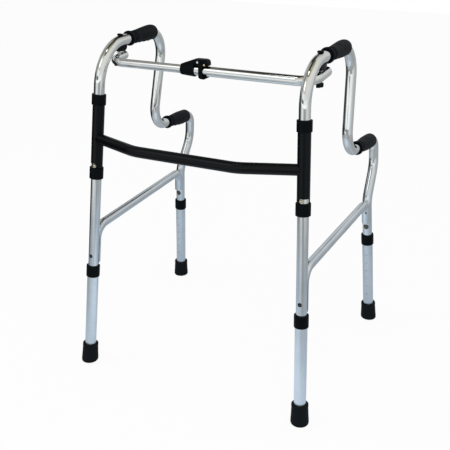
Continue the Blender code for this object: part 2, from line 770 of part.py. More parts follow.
def rubber_foot(label, front, side, floor):
    matrix = leg_frame(front, 0.0, side)
    high = FOOT_TOP_Z / leg_direction(front, side).z
    inner = across(SLEEVE_R + GAP, STEPS_BIG)
    profile = [
        (0.0, FOOT_FLOOR), (inner, FOOT_FLOOR), (inner, high), (FOOT_TOP_R - 0.0015, high),
        (FOOT_TOP_R, high - 0.0015), (FOOT_TOP_R + 0.0002, FOOT_BEAD_Z + FOOT_BEAD_RISE),
        (FOOT_BASE_R, FOOT_BEAD_Z), (FOOT_BASE_R, -FOOT_UNDER), (0.0, -FOOT_UNDER),
    ]
    made = lathe(label + "_rubber_foot", profile, STEPS_BIG, matrix, RUBBER)
    return boolean(made, floor)


# Telescoping top bar

def bar_path(side, start_x, tip_y):
    corners = [
        Vector((start_x, BAR_Y, BAR_Z)),
        Vector((side * BAR_X, BAR_Y, BAR_Z)),
        Vector((side * BAR_X, tip_y, BAR_Z)),
    ]
    return rounded(corners, [BAR_BEND], 5)


def bar_half(name, side, start_x, tip_y, radius, wall):
    made = hollow_tube(name, bar_path(side, start_x, tip_y), radius, wall, 4, POLISHED)
    tool = rod(name + "_bolt_cutter", BOLT_R + BAR_HOLE_PLAY, -0.03, 0.03, 12,
               bolt_frame(side))
    return boolean(made, tool)


def end_plug(name, side, tip_y, radius, wall):
    """Rounded plug in the rear end of a bar half."""
    inside = radius - wall - GAP
    matrix = frame_at(Vector((side * BAR_X, tip_y, BAR_Z)), Vector((0, 1, 0)),
                      Vector((0, 0, 1)))
    profile = [
        (0.0, 0.0050), (radius * 0.55, 0.0042), (radius * 0.90, 0.0020),
        (radius, GAP), (inside, GAP), (inside, -0.0080), (0.0, -0.0080),
    ]
    return lathe(name, profile, 12, matrix, GREY_PLASTIC)


def stop_plug():
    matrix = frame_at(Vector((STOP_PLUG_X[0], BAR_Y, BAR_Z)), Vector((1, 0, 0)),
                      Vector((0, 0, 1)))
    inside = BAR_OUT_R - BAR_OUT_WALL - RUN - GAP
    length = STOP_PLUG_X[1] - STOP_PLUG_X[0]
    profile = [(0.0, length), (inside, length), (inside, 0.0), (0.0, 0.0)]
    return lathe("bar_stop_plug", profile, 12, matrix, PLASTIC)


def bar_frame(x):
    """Frame on the bar axis: local X along the bar, local Y up, local Z to the front."""
    turn = Matrix(((1, 0, 0, 0), (0, 0, -1, 0), (0, 1, 0, 0), (0, 0, 0, 1)))
    return Matrix.Translation((x, BAR_Y, BAR_Z)) @ turn


def along_bar(x):
    """Frame on the bar axis with Z along +X."""
    return frame_at(Vector((x, BAR_Y, BAR_Z)), Vector((1, 0, 0)), Vector((0, 0, 1)))


def latch_body():
    """Tapered sleeve on the outer half, with a fin over it that carries the lever."""
    length = LATCH_SLEEVE_X - LATCH_LEFT_X
    profile = [
        (0.0, length), (LATCH_R[1], length), (LATCH_R[0] + 0.0010, 0.0035),
        (LATCH_R[0] - 0.0008, 0.0), (0.0, 0.0),
    ]
    made = lathe("latch_body", profile, 16, along_bar(LATCH_LEFT_X), PLASTIC)
    outline = [
        (-0.0560, 0.0060), (-0.0500, 0.0152), (-0.0270, 0.0243), (-0.0200, LATCH_CREST),
        (0.0035, LATCH_CREST), (0.0085, 0.0240), (LATCH_RIGHT_X, 0.0180),
        (LATCH_RIGHT_X, 0.0062), (-0.0245, 0.0062), (-0.0270, 0.0),
        (-0.0560, 0.0),
    ]
    fin = plate("latch_fin_cutter", outline, LATCH_HALF_Y, bar_frame(0.0), None, cutters)
    for label, (x, high) in (("pin", LATCH_PIN), ("rivet", LATCH_RIVET)):
        matrix = bar_frame(x) @ Matrix.Translation((0, high, 0))
        boolean(fin, rod("latch_" + label + "_cutter", PIN_R + GAP, -0.02, 0.02, 10,
                         matrix))
    boolean(made, fin, "UNION")
    wide = across(BAR_OUT_R + GAP, STEPS_BIG)
    narrow = across(BAR_IN_R + GAP, STEPS_BIG)
    step = BAR_MOUTH_X - GAP - LATCH_LEFT_X
    bore = [(0.0, 0.10), (wide, 0.10), (wide, step), (narrow, step), (narrow, -0.01),
            (0.0, -0.01)]
    return boolean(made, lathe("latch_bore_cutter", bore, STEPS_BIG,
                               along_bar(LATCH_LEFT_X), None, cutters))


def latch_lever():
    """Hook that hangs from the pin, straddles the bar and ends in a finger tab."""
    x, high = LATCH_PIN
    outline = [
        (-0.0042, 0.0020), (-0.0030, 0.0040), (0.0015, 0.0046), (0.0050, 0.0030),
        (0.0106, -0.0060), (0.0106, -0.0325), (0.0160, -0.0345), (0.0155, -0.0366),
        (0.0060, -0.0362), (0.0012, -0.0335), (0.0008, -0.0070), (-0.0040, -0.0030),
    ]
    matrix = bar_frame(x) @ Matrix.Translation((0, high, 0))
    made = plate("latch_lever", outline, LEVER_HALF_Y, matrix, PLASTIC)
    channel = []
    for k in range(9):
        angle = math.pi * (1 + k / 8)
        channel.append((LEVER_INSIDE * math.cos(angle), LEVER_INSIDE * math.sin(angle)))
    channel += [(LEVER_INSIDE, 0.04), (-LEVER_INSIDE, 0.04)]
    turned = along_bar(x + 0.006)
    boolean(made, plate("lever_channel_cutter", channel, 0.03, turned, None, cutters))
    return boolean(made, rod("lever_pin_cutter", PIN_R + GAP, -0.02, 0.02, 10, matrix))


def cross_pin(name, place, reach, head, shader):
    """Pin across the latch with a low head on each end."""
    x, high = place
    matrix = bar_frame(x) @ Matrix.Translation((0, high, 0))
    tip = reach + PIN_HEAD
    profile = [
        (0.0, tip), (head * 0.7, tip), (head, reach + GAP), (PIN_R, reach + GAP),
        (PIN_R, -reach - GAP), (head, -reach - GAP), (head * 0.7, -tip), (0.0, -tip),
    ]
    return lathe(name, profile, 10, matrix, shader)


def right_washer():
    low = BAR_OUT_R + WASHER_RISE
    bore = BOLT_R + WASHER_PLAY
    profile = [(WASHER_R, low + WASHER), (WASHER_R, low), (bore, low), (bore, low + WASHER)]
    return lathe("right_pivot_washer", profile, 16, bolt_frame(1), GREY_PLASTIC)


def left_stud():
    """Stud and washer head that stay with the bar: the linkage is opened above them."""
    low = BAR_IN_R + WASHER_RISE
    end = -(BAR_IN_R + KNOB_DROP + KNOB)
    profile = [
        (0.0, low + WASHER), (WASHER_R, low + WASHER), (WASHER_R, low), (BOLT_R, low),
        (BOLT_R, end), (0.0, end),
    ]
    return lathe("left_pivot_stud", profile, 16, bolt_frame(-1), STEEL)


# Assembly

def build_side(word, side, floor):
    pieces = [side_tube(word, side), brace(word, side), upper_grip(word, side),
              lower_grip(word, side)]
    bar_r = BAR_IN_R if side < 0 else BAR_OUT_R
    pieces.append(saddle(word, side))
    if side < 0:
        end = saddle_height(side)
    else:
        end = -(bar_r + KNOB_DROP + KNOB)
        pieces.append(wing_knob(word, side, bar_r))
    pieces.append(pivot_bolt(word, side, end))
    hinge = axis_empty(word + "_fold_axis", leg_frame(True, 0.0, side))
    for lock in (fold_lock(word, side), leg_lock(word, True, side),
                 leg_lock(word, False, side)):
        pieces += lock
    carry(hinge, *pieces)
    for front in (True, False):
        label = word + ("_front" if front else "_rear")
        slide = axis_empty(label + "_leg_axis", leg_frame(front, 0.0, side), hinge)
        carry(slide, leg_tube(label, front, side), leg_collar(label, front, side),
              rubber_foot(label, front, side, floor))
    return hinge


def build_bar(right_hinge):
    right_pivot = axis_empty("right_pivot_axis", bolt_frame(1), right_hinge)
    outer = bar_half("bar_outer_half", 1, BAR_MOUTH_X, RIGHT_TIP_Y, BAR_OUT_R,
                     BAR_OUT_WALL)
    inner = bar_half("bar_inner_half", -1, BAR_INNER_END_X, LEFT_TIP_Y, BAR_IN_R,
                     BAR_IN_WALL)
    latch = [latch_body(), cross_pin("latch_pin", LATCH_PIN, LEVER_HALF_Y, 0.0026, STEEL),
             cross_pin("latch_rivet", LATCH_RIVET, LATCH_HALF_Y, 0.0024, BRASS)]
    carry(right_pivot, right_washer(), outer, stop_plug(), *latch,
          end_plug("right_bar_end_plug", 1, RIGHT_TIP_Y, BAR_OUT_R, BAR_OUT_WALL))
    slide = axis_empty("bar_slide_axis", along_bar(BAR_MOUTH_X), right_pivot)
    carry(slide, inner, left_stud(), wing_knob("left", -1, BAR_IN_R),
          end_plug("left_bar_end_plug", -1, LEFT_TIP_Y, BAR_IN_R, BAR_IN_WALL))
    lever_axis = bar_frame(LATCH_PIN[0]) @ Matrix.Translation((0, LATCH_PIN[1], 0))
    trigger = axis_empty("latch_lever_axis", lever_axis, right_pivot)
    carry(trigger, latch_lever())


def build():
    cross_brace()
    for word, side in SIDES:
        hinge_sleeve(word, side)
        sleeve_bush(word + "_lower_bush", BUSH_LOW, True, side)
        sleeve_bush(word + "_upper_bush", BUSH_HIGH, False, side)
    floor = plate("floor_cutter", [(-1, -1), (1, -1), (1, 1), (-1, 1)], 0.02,
                  Matrix.Translation((0, 0, -0.02)), None, cutters)
    hinges = [build_side(word, side, floor) for word, side in SIDES]
    build_bar(hinges[1])
    shading = smooth_group()
    for made in part.objects:
        if made.type == "MESH":
            made.modifiers.new("shading", "NODES").node_group = shading


build()
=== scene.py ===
import math

import bmesh
import bpy
import numpy as np
from mathutils import Matrix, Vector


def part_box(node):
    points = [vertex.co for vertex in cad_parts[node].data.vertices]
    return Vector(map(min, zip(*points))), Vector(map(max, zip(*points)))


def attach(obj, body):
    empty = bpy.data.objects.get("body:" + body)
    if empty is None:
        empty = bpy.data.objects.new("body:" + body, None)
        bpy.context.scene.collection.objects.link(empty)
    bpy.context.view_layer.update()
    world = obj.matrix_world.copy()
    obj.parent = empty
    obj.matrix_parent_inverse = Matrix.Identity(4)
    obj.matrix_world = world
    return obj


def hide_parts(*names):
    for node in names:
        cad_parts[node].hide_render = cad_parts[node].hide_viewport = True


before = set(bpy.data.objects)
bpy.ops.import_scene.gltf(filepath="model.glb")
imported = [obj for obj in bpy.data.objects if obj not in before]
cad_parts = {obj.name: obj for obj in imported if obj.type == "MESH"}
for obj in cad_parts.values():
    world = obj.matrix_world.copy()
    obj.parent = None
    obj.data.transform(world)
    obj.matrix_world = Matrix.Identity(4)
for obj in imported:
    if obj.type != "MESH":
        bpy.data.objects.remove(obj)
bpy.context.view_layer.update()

print("frame loaded,", len(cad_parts), "nodes")

# The walker's own layout, in metres and degrees, the same numbers as its solids. side is -1 for the
# left frame and +1 for the right one, front is True for the front legs.
walker = {
    "halfWidth": 0.3064, "leanIn": 0.0658, "splay": 0.0327,
    "frontY": -0.2678, "frontLean": 0.0918, "rearY": 0.2678, "rearLean": 0.0875,
    "topZ": 0.8163, "topRearY": 0.1061, "dip": (0.0575, 0.5592),
    "lowRear": (0.2868, 0.5382), "knee": (0.2905, 0.4630), "kinkZ": 0.3810, "tubeEndZ": 0.0750,
    "bends": (0.0958, 0.0639, 0.0560, 0.0319, 0.0750, 0.0550),
    "tubeRadius": 0.0127, "tubeWall": 0.0012, "sleeveRadius": 0.0143, "gap": 0.0003,
    "barY": -0.1555, "barZ": 0.7760, "boltY": -0.1133, "sideOfBar": 0.2516,
    "buttonZ": 0.3030, "foldZ": 0.5388, "foldAngle": -8.0,
}
sides = (("left", -1), ("right", 1))
xAxis, yAxis, zAxis = np.eye(3)


# Points of a side frame's plane: x = side (half width - lean z + splay y).
def onSide(y, z, side):
    y, z = np.broadcast_arrays(np.asarray(y, float), np.asarray(z, float))
    x = side * (walker["halfWidth"] - walker["leanIn"] * z + walker["splay"] * y)
    return np.stack([x, y, z], -1)


# Point of a leg's axis at a height: y = its foot's y, plus or minus its lean times z.
def legPoint(front, z, side):
    z = np.asarray(z, float)
    y = walker["frontY"] + walker["frontLean"] * z if front else walker["rearY"] - walker["rearLean"] * z
    return onSide(y, z, side)


# Vectors divided by their lengths.
def unit(vectors):
    return vectors / np.linalg.norm(vectors, axis=-1, keepdims=True)


# Direction up a leg, from its foot to a point half a metre up.
def legAxis(front, side):
    return unit(legPoint(front, 0.5, side) - legPoint(front, 0.0, side))


# Lower point, direction and length of a leg's stretch between two heights.
def legSpan(front, heights, side):
    low, high = (legPoint(front, z, side) for z in heights)
    return low, legAxis(front, side), np.linalg.norm(high - low)


# Two directions across an axis: the part of near across it, turned a quarter, and that part.
def squareTo(axis, near=(0.0, 1.0, 0.0)):
    back = unit(np.asarray(near, float) - axis * np.dot(near, axis))
    return np.cross(back, axis), back


# Direction out of a leg at an angle from the front: side sin a right - cos a back.
def outward(right, back, side, degrees):
    turn = math.radians(degrees)
    return side * math.sin(turn) * right - math.cos(turn) * back


# Point on a leg's axis and the direction out of the tube, turned from the front.
def outOfLeg(front, z, side, degrees=0.0):
    return legPoint(front, z, side), outward(*squareTo(legAxis(front, side)), side, degrees)


# Even angles round a circle: 2 pi k / columns.
def turnOf(columns):
    return np.arange(columns) * 2 * np.pi / columns


# Polyline whose inner corners are arcs: centre + radius (a sin((1-t)w) + b sin(t w)) / sin w.
def filletPath(corners, radii, steps=26):
    corners = np.asarray(corners, float)
    before = unit(corners[:-2] - corners[1:-1])
    after = unit(corners[2:] - corners[1:-1])
    half = np.arccos(np.clip((before * after).sum(-1), -1, 1)) / 2
    radii = np.asarray(radii, float)
    centre = corners[1:-1] + unit(before + after) * (radii / np.sin(half))[:, None]
    start = corners[1:-1] + before * (radii / np.tan(half))[:, None] - centre
    end = corners[1:-1] + after * (radii / np.tan(half))[:, None] - centre
    t = np.linspace(0, 1, steps)[None, :, None]
    w = (np.pi - 2 * half)[:, None, None]
    arcs = centre[:, None] + (start[:, None] * np.sin((1 - t) * w) + end[:, None] * np.sin(t * w)) / np.sin(w)
    return np.concatenate([corners[:1], arcs.reshape(-1, 3), corners[-1:]])


# Length along the path at each of its points: the running sum of its steps.
def runOf(path):
    return np.concatenate([[0.0], np.cumsum(np.linalg.norm(np.diff(path, axis=0), axis=1))])


# Rows of a table at lengths between its own, each column in straight lines.
def between(run, rows, at):
    return np.stack([np.interp(at, run, rows[:, k]) for k in range(3)], -1)


# Centre of the path and the direction tangent x across, at lengths along it.
def alongPath(path, at, across):
    run = runOf(path)
    tangent = unit(between(run, np.gradient(path, run, axis=0), at))
    return between(run, path, at), np.cross(tangent, np.broadcast_to(across, tangent.shape))


# Many even lengths along the path and its points there.
def sampled(path, count):
    run = runOf(path)
    fine = np.linspace(0, run[-1], count)
    return fine, between(run, path, fine)


# Length along the path at its nearest point.
def nearestRun(path, point):
    fine, line = sampled(path, 6000)
    return fine[np.argmin(((line - point) ** 2).sum(1))]


# Length at which the path first passes y going back, above a height.
def runAtY(path, y, above):
    fine, line = sampled(path, 20000)
    hit = (line[:-1, 1] < y) & (line[1:, 1] >= y) & (line[1:, 2] > above)
    return fine[np.argmax(hit)]


# The path's own points, and even ones between them on straight runs.
def stationsOf(path, step):
    run = runOf(path)
    return np.unique(np.round(np.concatenate([run, np.arange(step, run[-1], step)]), 6))


# Angle of a direction in the carried profile's own plane: atan2(direction . up, direction . across).
def angleOf(path, across, at, direction):
    up = alongPath(path, at, across)[1]
    return math.atan2(np.dot(direction, up), np.dot(direction, across))


# Smooth step 3 t^2 - 2 t^3 over a width round its middle.
def smoothStep(x, middle, width):
    t = np.clip((x - middle) / width + 0.5, 0, 1)
    return t * t * (3 - 2 * t)


# How far a quarter circle of this size falls off where its edge is so far inside it.
def noseDrop(size, inside):
    return size - np.sqrt(np.maximum(size ** 2 - np.clip(inside, 0, size) ** 2, 0))


# Profile with rounded corners: each corner is the curve (1-t)^2 a + 2 t (1-t) c + t^2 b.
def softened(corners, fillets, steps=5, ring=False):
    corners = np.asarray(corners, float)
    fillets = np.broadcast_to(np.asarray(fillets, float), len(corners))
    back = unit(np.roll(corners, 1, 0) - corners)
    ahead = unit(np.roll(corners, -1, 0) - corners)
    t = np.linspace(0, 1, steps)[None, :, None]
    a = (corners + back * fillets[:, None])[:, None]
    b = (corners + ahead * fillets[:, None])[:, None]
    curve = (1 - t) ** 2 * a + 2 * t * (1 - t) * corners[:, None] + t ** 2 * b
    if ring:
        return curve.reshape(-1, 2)
    return np.concatenate([corners[:1], curve[1:-1].reshape(-1, 2), corners[-1:]])


# Object of this data in the scene.
def linked(name, data):
    made = bpy.data.objects.new(name, data)
    bpy.context.scene.collection.objects.link(made)
    return made


# Mesh of a grid of points, round in its second direction and, for a ring, in its first too.
def surface(name, grid, ring=False, keep=None, flow=None):
    rows, columns = grid.shape[:2]
    i, j = np.meshgrid(np.arange(rows if ring else rows - 1), np.arange(columns), indexing="ij")
    i, j = (i.ravel(), j.ravel()) if keep is None else (i[keep], j[keep])
    down, over = (i + 1) % rows, (j + 1) % columns
    quads = np.stack([i * columns + j, i * columns + over, down * columns + over, down * columns + j], -1)
    mesh = bpy.data.meshes.new(name)
    mesh.from_pydata(grid.reshape(-1, 3), [], quads)
    if flow is not None:  # u goes round and v along the piece, both in metres
        along, across = flow
        u = np.stack([j, j + 1, j + 1, j], -1) * across / columns
        v = np.stack([along[i], along[i], along[down], along[down]], -1)
        mesh.uv_layers.new(name="flow").data.foreach_set("uv", np.stack([u, v], -1).astype(np.float32).ravel())
    work = bmesh.new()
    work.from_mesh(mesh)
    bmesh.ops.remove_doubles(work, verts=work.verts, dist=1e-6)
    bmesh.ops.delete(work, geom=[v for v in work.verts if not v.link_faces], context="VERTS")
    work.to_mesh(mesh)
    work.free()
    return linked(name, mesh)


# Profile carried on a flat path: centre(s) + r (cos a across + sin a (tangent x across)).
def carried(path, across, along, radius, angle):
    centre, up = alongPath(path, along, across)
    if np.ndim(along) == 1:
        centre, up = centre[:, None], up[:, None]
    radius, angle = np.asarray(radius), angle[..., None]
    radius = radius[:, None] if radius.ndim == 1 else radius
    return centre + radius[..., None] * (np.cos(angle) * across + np.sin(angle) * up)


# Turned piece: origin + along axis + radius (cos a right + sin a back). Profile runs up the outside.
def turned(name, origin, axis, profile, columns=48, near=(0.0, 1.0, 0.0), ring=False):
    right, back = squareTo(axis, near)
    angle = turnOf(columns)[:, None]
    profile = np.asarray(profile, float)
    along, radius = profile[:, 0], profile[:, 1]
    spin = np.cos(angle) * right + np.sin(angle) * back
    grid = origin + along[:, None, None] * axis + radius[:, None, None] * spin[None]
    return surface(name, grid, ring, None, (along + radius, 2 * np.pi * radius.max()))


# Closed profile of a tube: out along the outside, back along the bore, edges slightly broken.
def tubeLoop(start, end, outer, inner, stations=(), edge=0.00025):
    inside = np.asarray(stations, float)
    inside = inside[(inside > start + 2 * edge) & (inside < end - 2 * edge)]
    line = np.concatenate([[start + edge, start + 2 * edge], inside, [end - 2 * edge, end - edge]])
    along = np.concatenate([[start], line, [end, end], line[::-1], [start]])
    radius = np.concatenate([[outer - edge], np.full(len(line), outer), [outer - edge, inner + edge],
                             np.full(len(line), inner), [inner + edge]])
    return along, radius


# Stations, shifts and faces of a tube wall with round or long holes. In the square patch round a hole
# the grid point p moves to lerp(hole edge, p scaled to the patch, t), with t from 0 at the hole's
# ring of grid lines to 1 at the patch's rim.
def pierced(along, columns, tubeRadius, holes):
    around = 2 * np.pi * tubeRadius
    width = around / columns
    for hole in holes:
        span = hole["patch"] * width
        along = along[(along < hole["at"] - span - 1e-5) | (along > hole["at"] + span + 1e-5)]
        local = hole["at"] + np.arange(-hole["patch"], hole["patch"] + 1) * width
        along = np.sort(np.concatenate([along, local]))
    order = sorted(holes, key=lambda hole: hole["at"])
    turn = np.interp(along, [h["at"] for h in order], [h["angle"] for h in order])
    a = np.repeat(along[:, None], columns, 1)
    b, middleB = (np.where(at > around / 2, at - around, at)
                  for at in (np.arange(columns) * width, (np.arange(columns) + 0.5) * width))
    b = np.broadcast_to(b, a.shape)
    middleA = (along[:-1, None] + along[1:, None]) / 2
    keep = np.ones((len(along) - 1, columns), bool)
    for hole in holes:
        half = hole.get("long", 0) * width
        p, q = a - hole["at"], b - np.clip(b, -half, half)
        reach = np.maximum(np.abs(p), np.abs(q))
        inner, outer = hole["ring"] * width, hole["patch"] * width
        near = (reach < outer - 1e-7) & (reach > 1e-9)
        safe = np.where(reach > 1e-9, reach, 1)
        length = np.where(reach > 1e-9, np.hypot(p, q), 1)
        t = np.clip((safe - inner) / (outer - inner), 0, 1)
        blend = (1 - t) * hole["radius"] / length + t * outer / safe
        a, b = np.where(near, hole["at"] + p * blend, a), np.where(near, b - q + q * blend, b)
        m = np.maximum(np.abs(middleA - hole["at"]), np.abs(middleB - np.clip(middleB, -half, half)))
        keep &= m > inner
    return a, b / tubeRadius + turn[:, None], keep


# Open tube wall with holes, thickened inwards: the same carried profile, point by point.
def piercedTube(name, path, across, start, end, tubeRadius, wall, holes, columns, stations):
    along = np.unique(np.round(np.concatenate([[start, start + 0.0004], stations, [end - 0.0004, end]]), 7))
    along = along[(along >= start) & (along <= end)]
    a, angle, keep = pierced(along, columns, tubeRadius, holes)
    grid = carried(path, across, a, tubeRadius, angle)
    piece = surface(name, grid, False, keep, (a[:, 0], 2 * np.pi * tubeRadius))
    shell = piece.modifiers.new("wall", "SOLIDIFY")
    shell.thickness, shell.offset, shell.use_even_offset = wall, -1.0, True
    return piece


# Flat piece: an outline in two directions, with its thickness across them and its rim rounded by
# shrinking the outline towards its middle line near each face.
def slab(name, outline, half, place, edge, steps=4):
    origin, ahead, up, side = place
    outline = np.asarray(outline, float)
    following = np.roll(outline, -1, 0)
    area = (outline[:, 0] * following[:, 1] - outline[:, 1] * following[:, 0]).sum()
    outline = outline if area >= 0 else outline[::-1]  # the area's sign tells its turn
    lines = np.roll(outline, -1, 0) - np.roll(outline, 1, 0)
    inward = unit(np.stack([-lines[:, 1], lines[:, 0]], -1))
    bend = np.linspace(0, np.pi / 2, steps)
    inset = np.concatenate([edge * (1 - np.sin(bend)), edge * (1 - np.cos(bend))])
    level = np.concatenate([-half + edge * (1 - np.cos(bend)), half - edge * (1 - np.sin(bend))])
    ringed = outline[None] + inset[:, None, None] * inward[None]
    grid = origin + ringed[..., :1] * ahead + ringed[..., 1:] * up + level[:, None, None] * side
    piece = surface(name, grid, False, None, (level, 0.1))
    work = bmesh.new()
    work.from_mesh(piece.data)
    bmesh.ops.holes_fill(work, edges=[e for e in work.edges if e.is_boundary], sides=0)
    bmesh.ops.recalc_face_normals(work, faces=work.faces)
    work.to_mesh(piece.data)
    work.free()
    return piece


# Cuts another piece out of this one.
def cutOut(piece, cutter):
    cut = piece.modifiers.new("cut", "BOOLEAN")
    cut.object, cut.solver, cut.operation = cutter, "MANIFOLD", "DIFFERENCE"


# Applies what finishes the piece, shades it smooth with crisp edges, and hands it to its body.
def settle(piece, body, nodes, finish, sharp=32.0):
    if piece.modifiers:
        graph = bpy.context.evaluated_depsgraph_get()
        mesh = bpy.data.meshes.new_from_object(piece.evaluated_get(graph))
        piece.modifiers.clear()
        piece.data = mesh
    piece.data.name = piece.name
    piece.data.materials.clear()
    piece.data.materials.append(finish)
    piece.data.shade_smooth()
    piece.data.set_sharp_from_angle(angle=math.radians(sharp))
    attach(piece, body)
    if nodes:
        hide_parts(*nodes)
    return piece


# Finishes

# Gives a shader node's inputs their values, or links them to other nodes' outputs.
def feed(tree, made, inputs):
    for label, given in inputs.items():
        if isinstance(given, bpy.types.NodeSocket):
            tree.links.new(given, made.inputs[label])
        else:
            made.inputs[label].default_value = given
    return made


# Shader node with its settings and inputs.
def node(tree, kind, inputs=None, **settings):
    made = tree.nodes.new("ShaderNode" + kind)
    for label, value in settings.items():
        setattr(made, label, value)
    return feed(tree, made, inputs or {})


# Vector times three factors, which sets a pattern's scale in each direction.
def stretch(tree, source, factors):
    return node(tree, "Mapping", {"Vector": source, "Scale": factors}).outputs["Vector"]


# Noise pattern from 0 to 1 of this scale.
def noise(tree, vector, scale, detail=3.0, rough=0.5):
    inputs = {"Vector": vector, "Scale": scale, "Detail": detail, "Roughness": rough}
    return node(tree, "TexNoise", inputs).outputs["Fac"]


# Value spread evenly from one range to another, and held at its ends.
def spread(tree, value, low, high, toLow=0.0, toHigh=1.0):
    inputs = {"Value": value, "From Min": low, "From Max": high, "To Min": toLow, "To Max": toHigh}
    return node(tree, "MapRange", inputs).outputs["Result"]


# First and second colour or value in the share's proportion.
def mixed(tree, share, first, second, kind="RGBA"):
    a, b, out = (6, 7, 2) if kind == "RGBA" else (2, 3, 0)
    return node(tree, "Mix", {0: share, a: first, b: second}, data_type=kind).outputs[out]


# One step of arithmetic on values or outputs.
def maths(tree, operation, *given):
    return node(tree, "Math", dict(enumerate(given)), operation=operation).outputs[0]


# Empty node group and its inputs, each a vector, or a colour or a value to start from.
def group(name, inputs):
    made = bpy.data.node_groups.new(name, "ShaderNodeTree")
    kinds = {tuple: "Color", float: "Float", type(None): "Vector"}
    for label, value in inputs.items():
        socket = made.interface.new_socket(label, in_out="INPUT", socket_type="NodeSocket" + kinds[type(value)])
        if value is not None:
            socket.default_value = value
    return made, made.nodes.new("NodeGroupInput").outputs


# Gives the group its three outputs.
def close(made, colour, rough, height):
    kinds = (("Colour", "Color"), ("Roughness", "Float"), ("Height", "Float"))
    for label, kind in kinds:
        made.interface.new_socket(label, in_out="OUTPUT", socket_type="NodeSocket" + kind)
    feed(made, made.nodes.new("NodeGroupOutput"), {"Colour": colour, "Roughness": rough, "Height": height})
    return made


# Drawn and polished tube: faint lines along the tube, soft cloudy patches and a few fine scuffs.
def drawnMetal():
    made, given = group("drawnMetal", {
        "Flow": None, "Position": None, "Light": (0.9, 0.9, 0.9, 1), "Shade": (0.8, 0.8, 0.8, 1),
        "Smooth": 0.1, "Rough": 0.2})
    lines = noise(made, stretch(made, given["Flow"], (2200.0, 14.0, 1.0)), 1.0, 2.0)
    patches = noise(made, given["Position"], 22.0, 4.0, 0.6)
    scuffs = noise(made, stretch(made, given["Flow"], (900.0, 260.0, 1.0)), 1.0, 6.0, 0.7)
    worn = maths(made, "MULTIPLY_ADD", spread(made, scuffs, 0.55, 0.85), 0.55,
                 spread(made, lines, 0.3, 0.7, 0.0, 0.5))
    return close(made, mixed(made, spread(made, patches, 0.3, 0.7), given["Shade"], given["Light"]),
                 spread(made, worn, 0.0, 1.0, given["Smooth"], given["Rough"]), lines)


# Moulded plastic or rubber: fine grain, larger cloudy tone and a thin veil of dust on upward faces.
def mouldedSkin():
    made, given = group("mouldedSkin", {
        "Position": None, "Facing": None, "Grain": 900.0, "Base": (0.01, 0.01, 0.01, 1),
        "Veil": (0.05, 0.05, 0.05, 1), "Dust": 0.3, "Smooth": 0.4, "Rough": 0.6})
    grain = noise(made, given["Position"], given["Grain"], 2.0)
    cloud = noise(made, given["Position"], 60.0, 5.0, 0.6)
    upward = node(made, "SeparateXYZ", {0: given["Facing"]}).outputs["Z"]
    lying = maths(made, "MULTIPLY", spread(made, upward, 0.1, 1.0), spread(made, cloud, 0.35, 0.7))
    veil = maths(made, "MULTIPLY", lying, given["Dust"])
    return close(made, mixed(made, veil, given["Base"], given["Veil"]),
                 spread(made, cloud, 0.3, 0.7, given["Smooth"], given["Rough"]), grain)


drawnGroup, skinGroup = drawnMetal(), mouldedSkin()


# Values of a metal finish: the two tones its patches mix, and its least and most roughness.
def metal(light, shade, smooth, rough):
    return {"Light": (*light, 1), "Shade": (*shade, 1), "Smooth": smooth, "Rough": rough}


# Values of a plastic or rubber finish: the grain's scale, the colours of body and dust, and the rest.
def skin(grain, base, veil, dust, smooth, rough):
    return {"Grain": grain, "Base": (*base, 1), "Veil": (*veil, 1), "Dust": dust, "Smooth": smooth,
            "Rough": rough}


# Material: a Principled shader fed by one of the groups, with a fine bump. Where below is given, the
# finish turns into that second set of values between two heights.
def finishOf(name, values, bump, depth=0.0001, specular=0.5, flow="Object", below=None, heights=None):
    made = bpy.data.materials.new(name)
    made.use_nodes = True
    tree = made.node_tree
    where = node(tree, "TexCoord").outputs
    isMetal = "Light" in values

    def fed(values):  # one group node with these values, told where on the piece it is
        inputs = dict(values, Position=where["Object"])
        if isMetal:
            inputs["Flow"] = where[flow]
        else:
            inputs["Facing"] = node(tree, "NewGeometry").outputs["Normal"]
        return node(tree, "Group", inputs, node_tree=drawnGroup if isMetal else skinGroup).outputs

    first = fed(values)
    colour, rough = first["Colour"], first["Roughness"]
    if below:
        second = fed(below)
        height = node(tree, "SeparateXYZ", {0: where["Object"]}).outputs["Z"]
        share = spread(tree, height, *heights)
        colour = mixed(tree, share, second["Colour"], colour)
        rough = mixed(tree, share, second["Roughness"], rough, "FLOAT")
    fine = node(tree, "Bump", {"Strength": bump, "Distance": depth, "Height": first["Height"]})
    feed(tree, tree.nodes["Principled BSDF"], {
        "Base Color": colour, "Roughness": rough, "Normal": fine.outputs["Normal"],
        "Metallic": 1.0 if isMetal else 0.0, "Specular IOR Level": specular})
    return made


# Below 0.52 m the polished tube blends into bluer, darker and rougher values, fully so below 0.40 m: the bluer,
# darker tone is a painted reflection of the floor, and the higher roughness is the finish
polished = finishOf("polishedTube", metal((0.88, 0.88, 0.86), (0.80, 0.81, 0.81), 0.05, 0.10), 0.02, 0.00004,
                    flow="UV", heights=(0.40, 0.52),
                    below=metal((0.80, 0.84, 0.88), (0.70, 0.75, 0.80), 0.17, 0.26))
satin = finishOf("satinTube", metal((0.85, 0.89, 0.94), (0.75, 0.80, 0.86), 0.30, 0.42), 0.04, 0.00004, flow="UV")
braceMetal = finishOf("braceTube", metal((0.80, 0.84, 0.88), (0.70, 0.74, 0.79), 0.13, 0.22), 0.03, 0.00004,
                      flow="UV")
steel = finishOf("brightSteel", metal((0.80, 0.80, 0.79), (0.70, 0.70, 0.69), 0.15, 0.30), 0.05)
# Near-black steel for the front snap buttons and the brace rivets: painted shade, standing in for the shade
# inside the button holes and in the V where each brace is pressed on its leg
paintedShadeSteel = finishOf("paintedShadeSteel", metal((0.10, 0.10, 0.10), (0.05, 0.05, 0.05), 0.12, 0.22), 0.05)
darkSteel = finishOf("springSteel", metal((0.16, 0.16, 0.13), (0.10, 0.10, 0.09), 0.35, 0.5), 0.08)
brass = finishOf("brassRivet", metal((0.90, 0.76, 0.44), (0.80, 0.62, 0.32), 0.18, 0.34), 0.05)
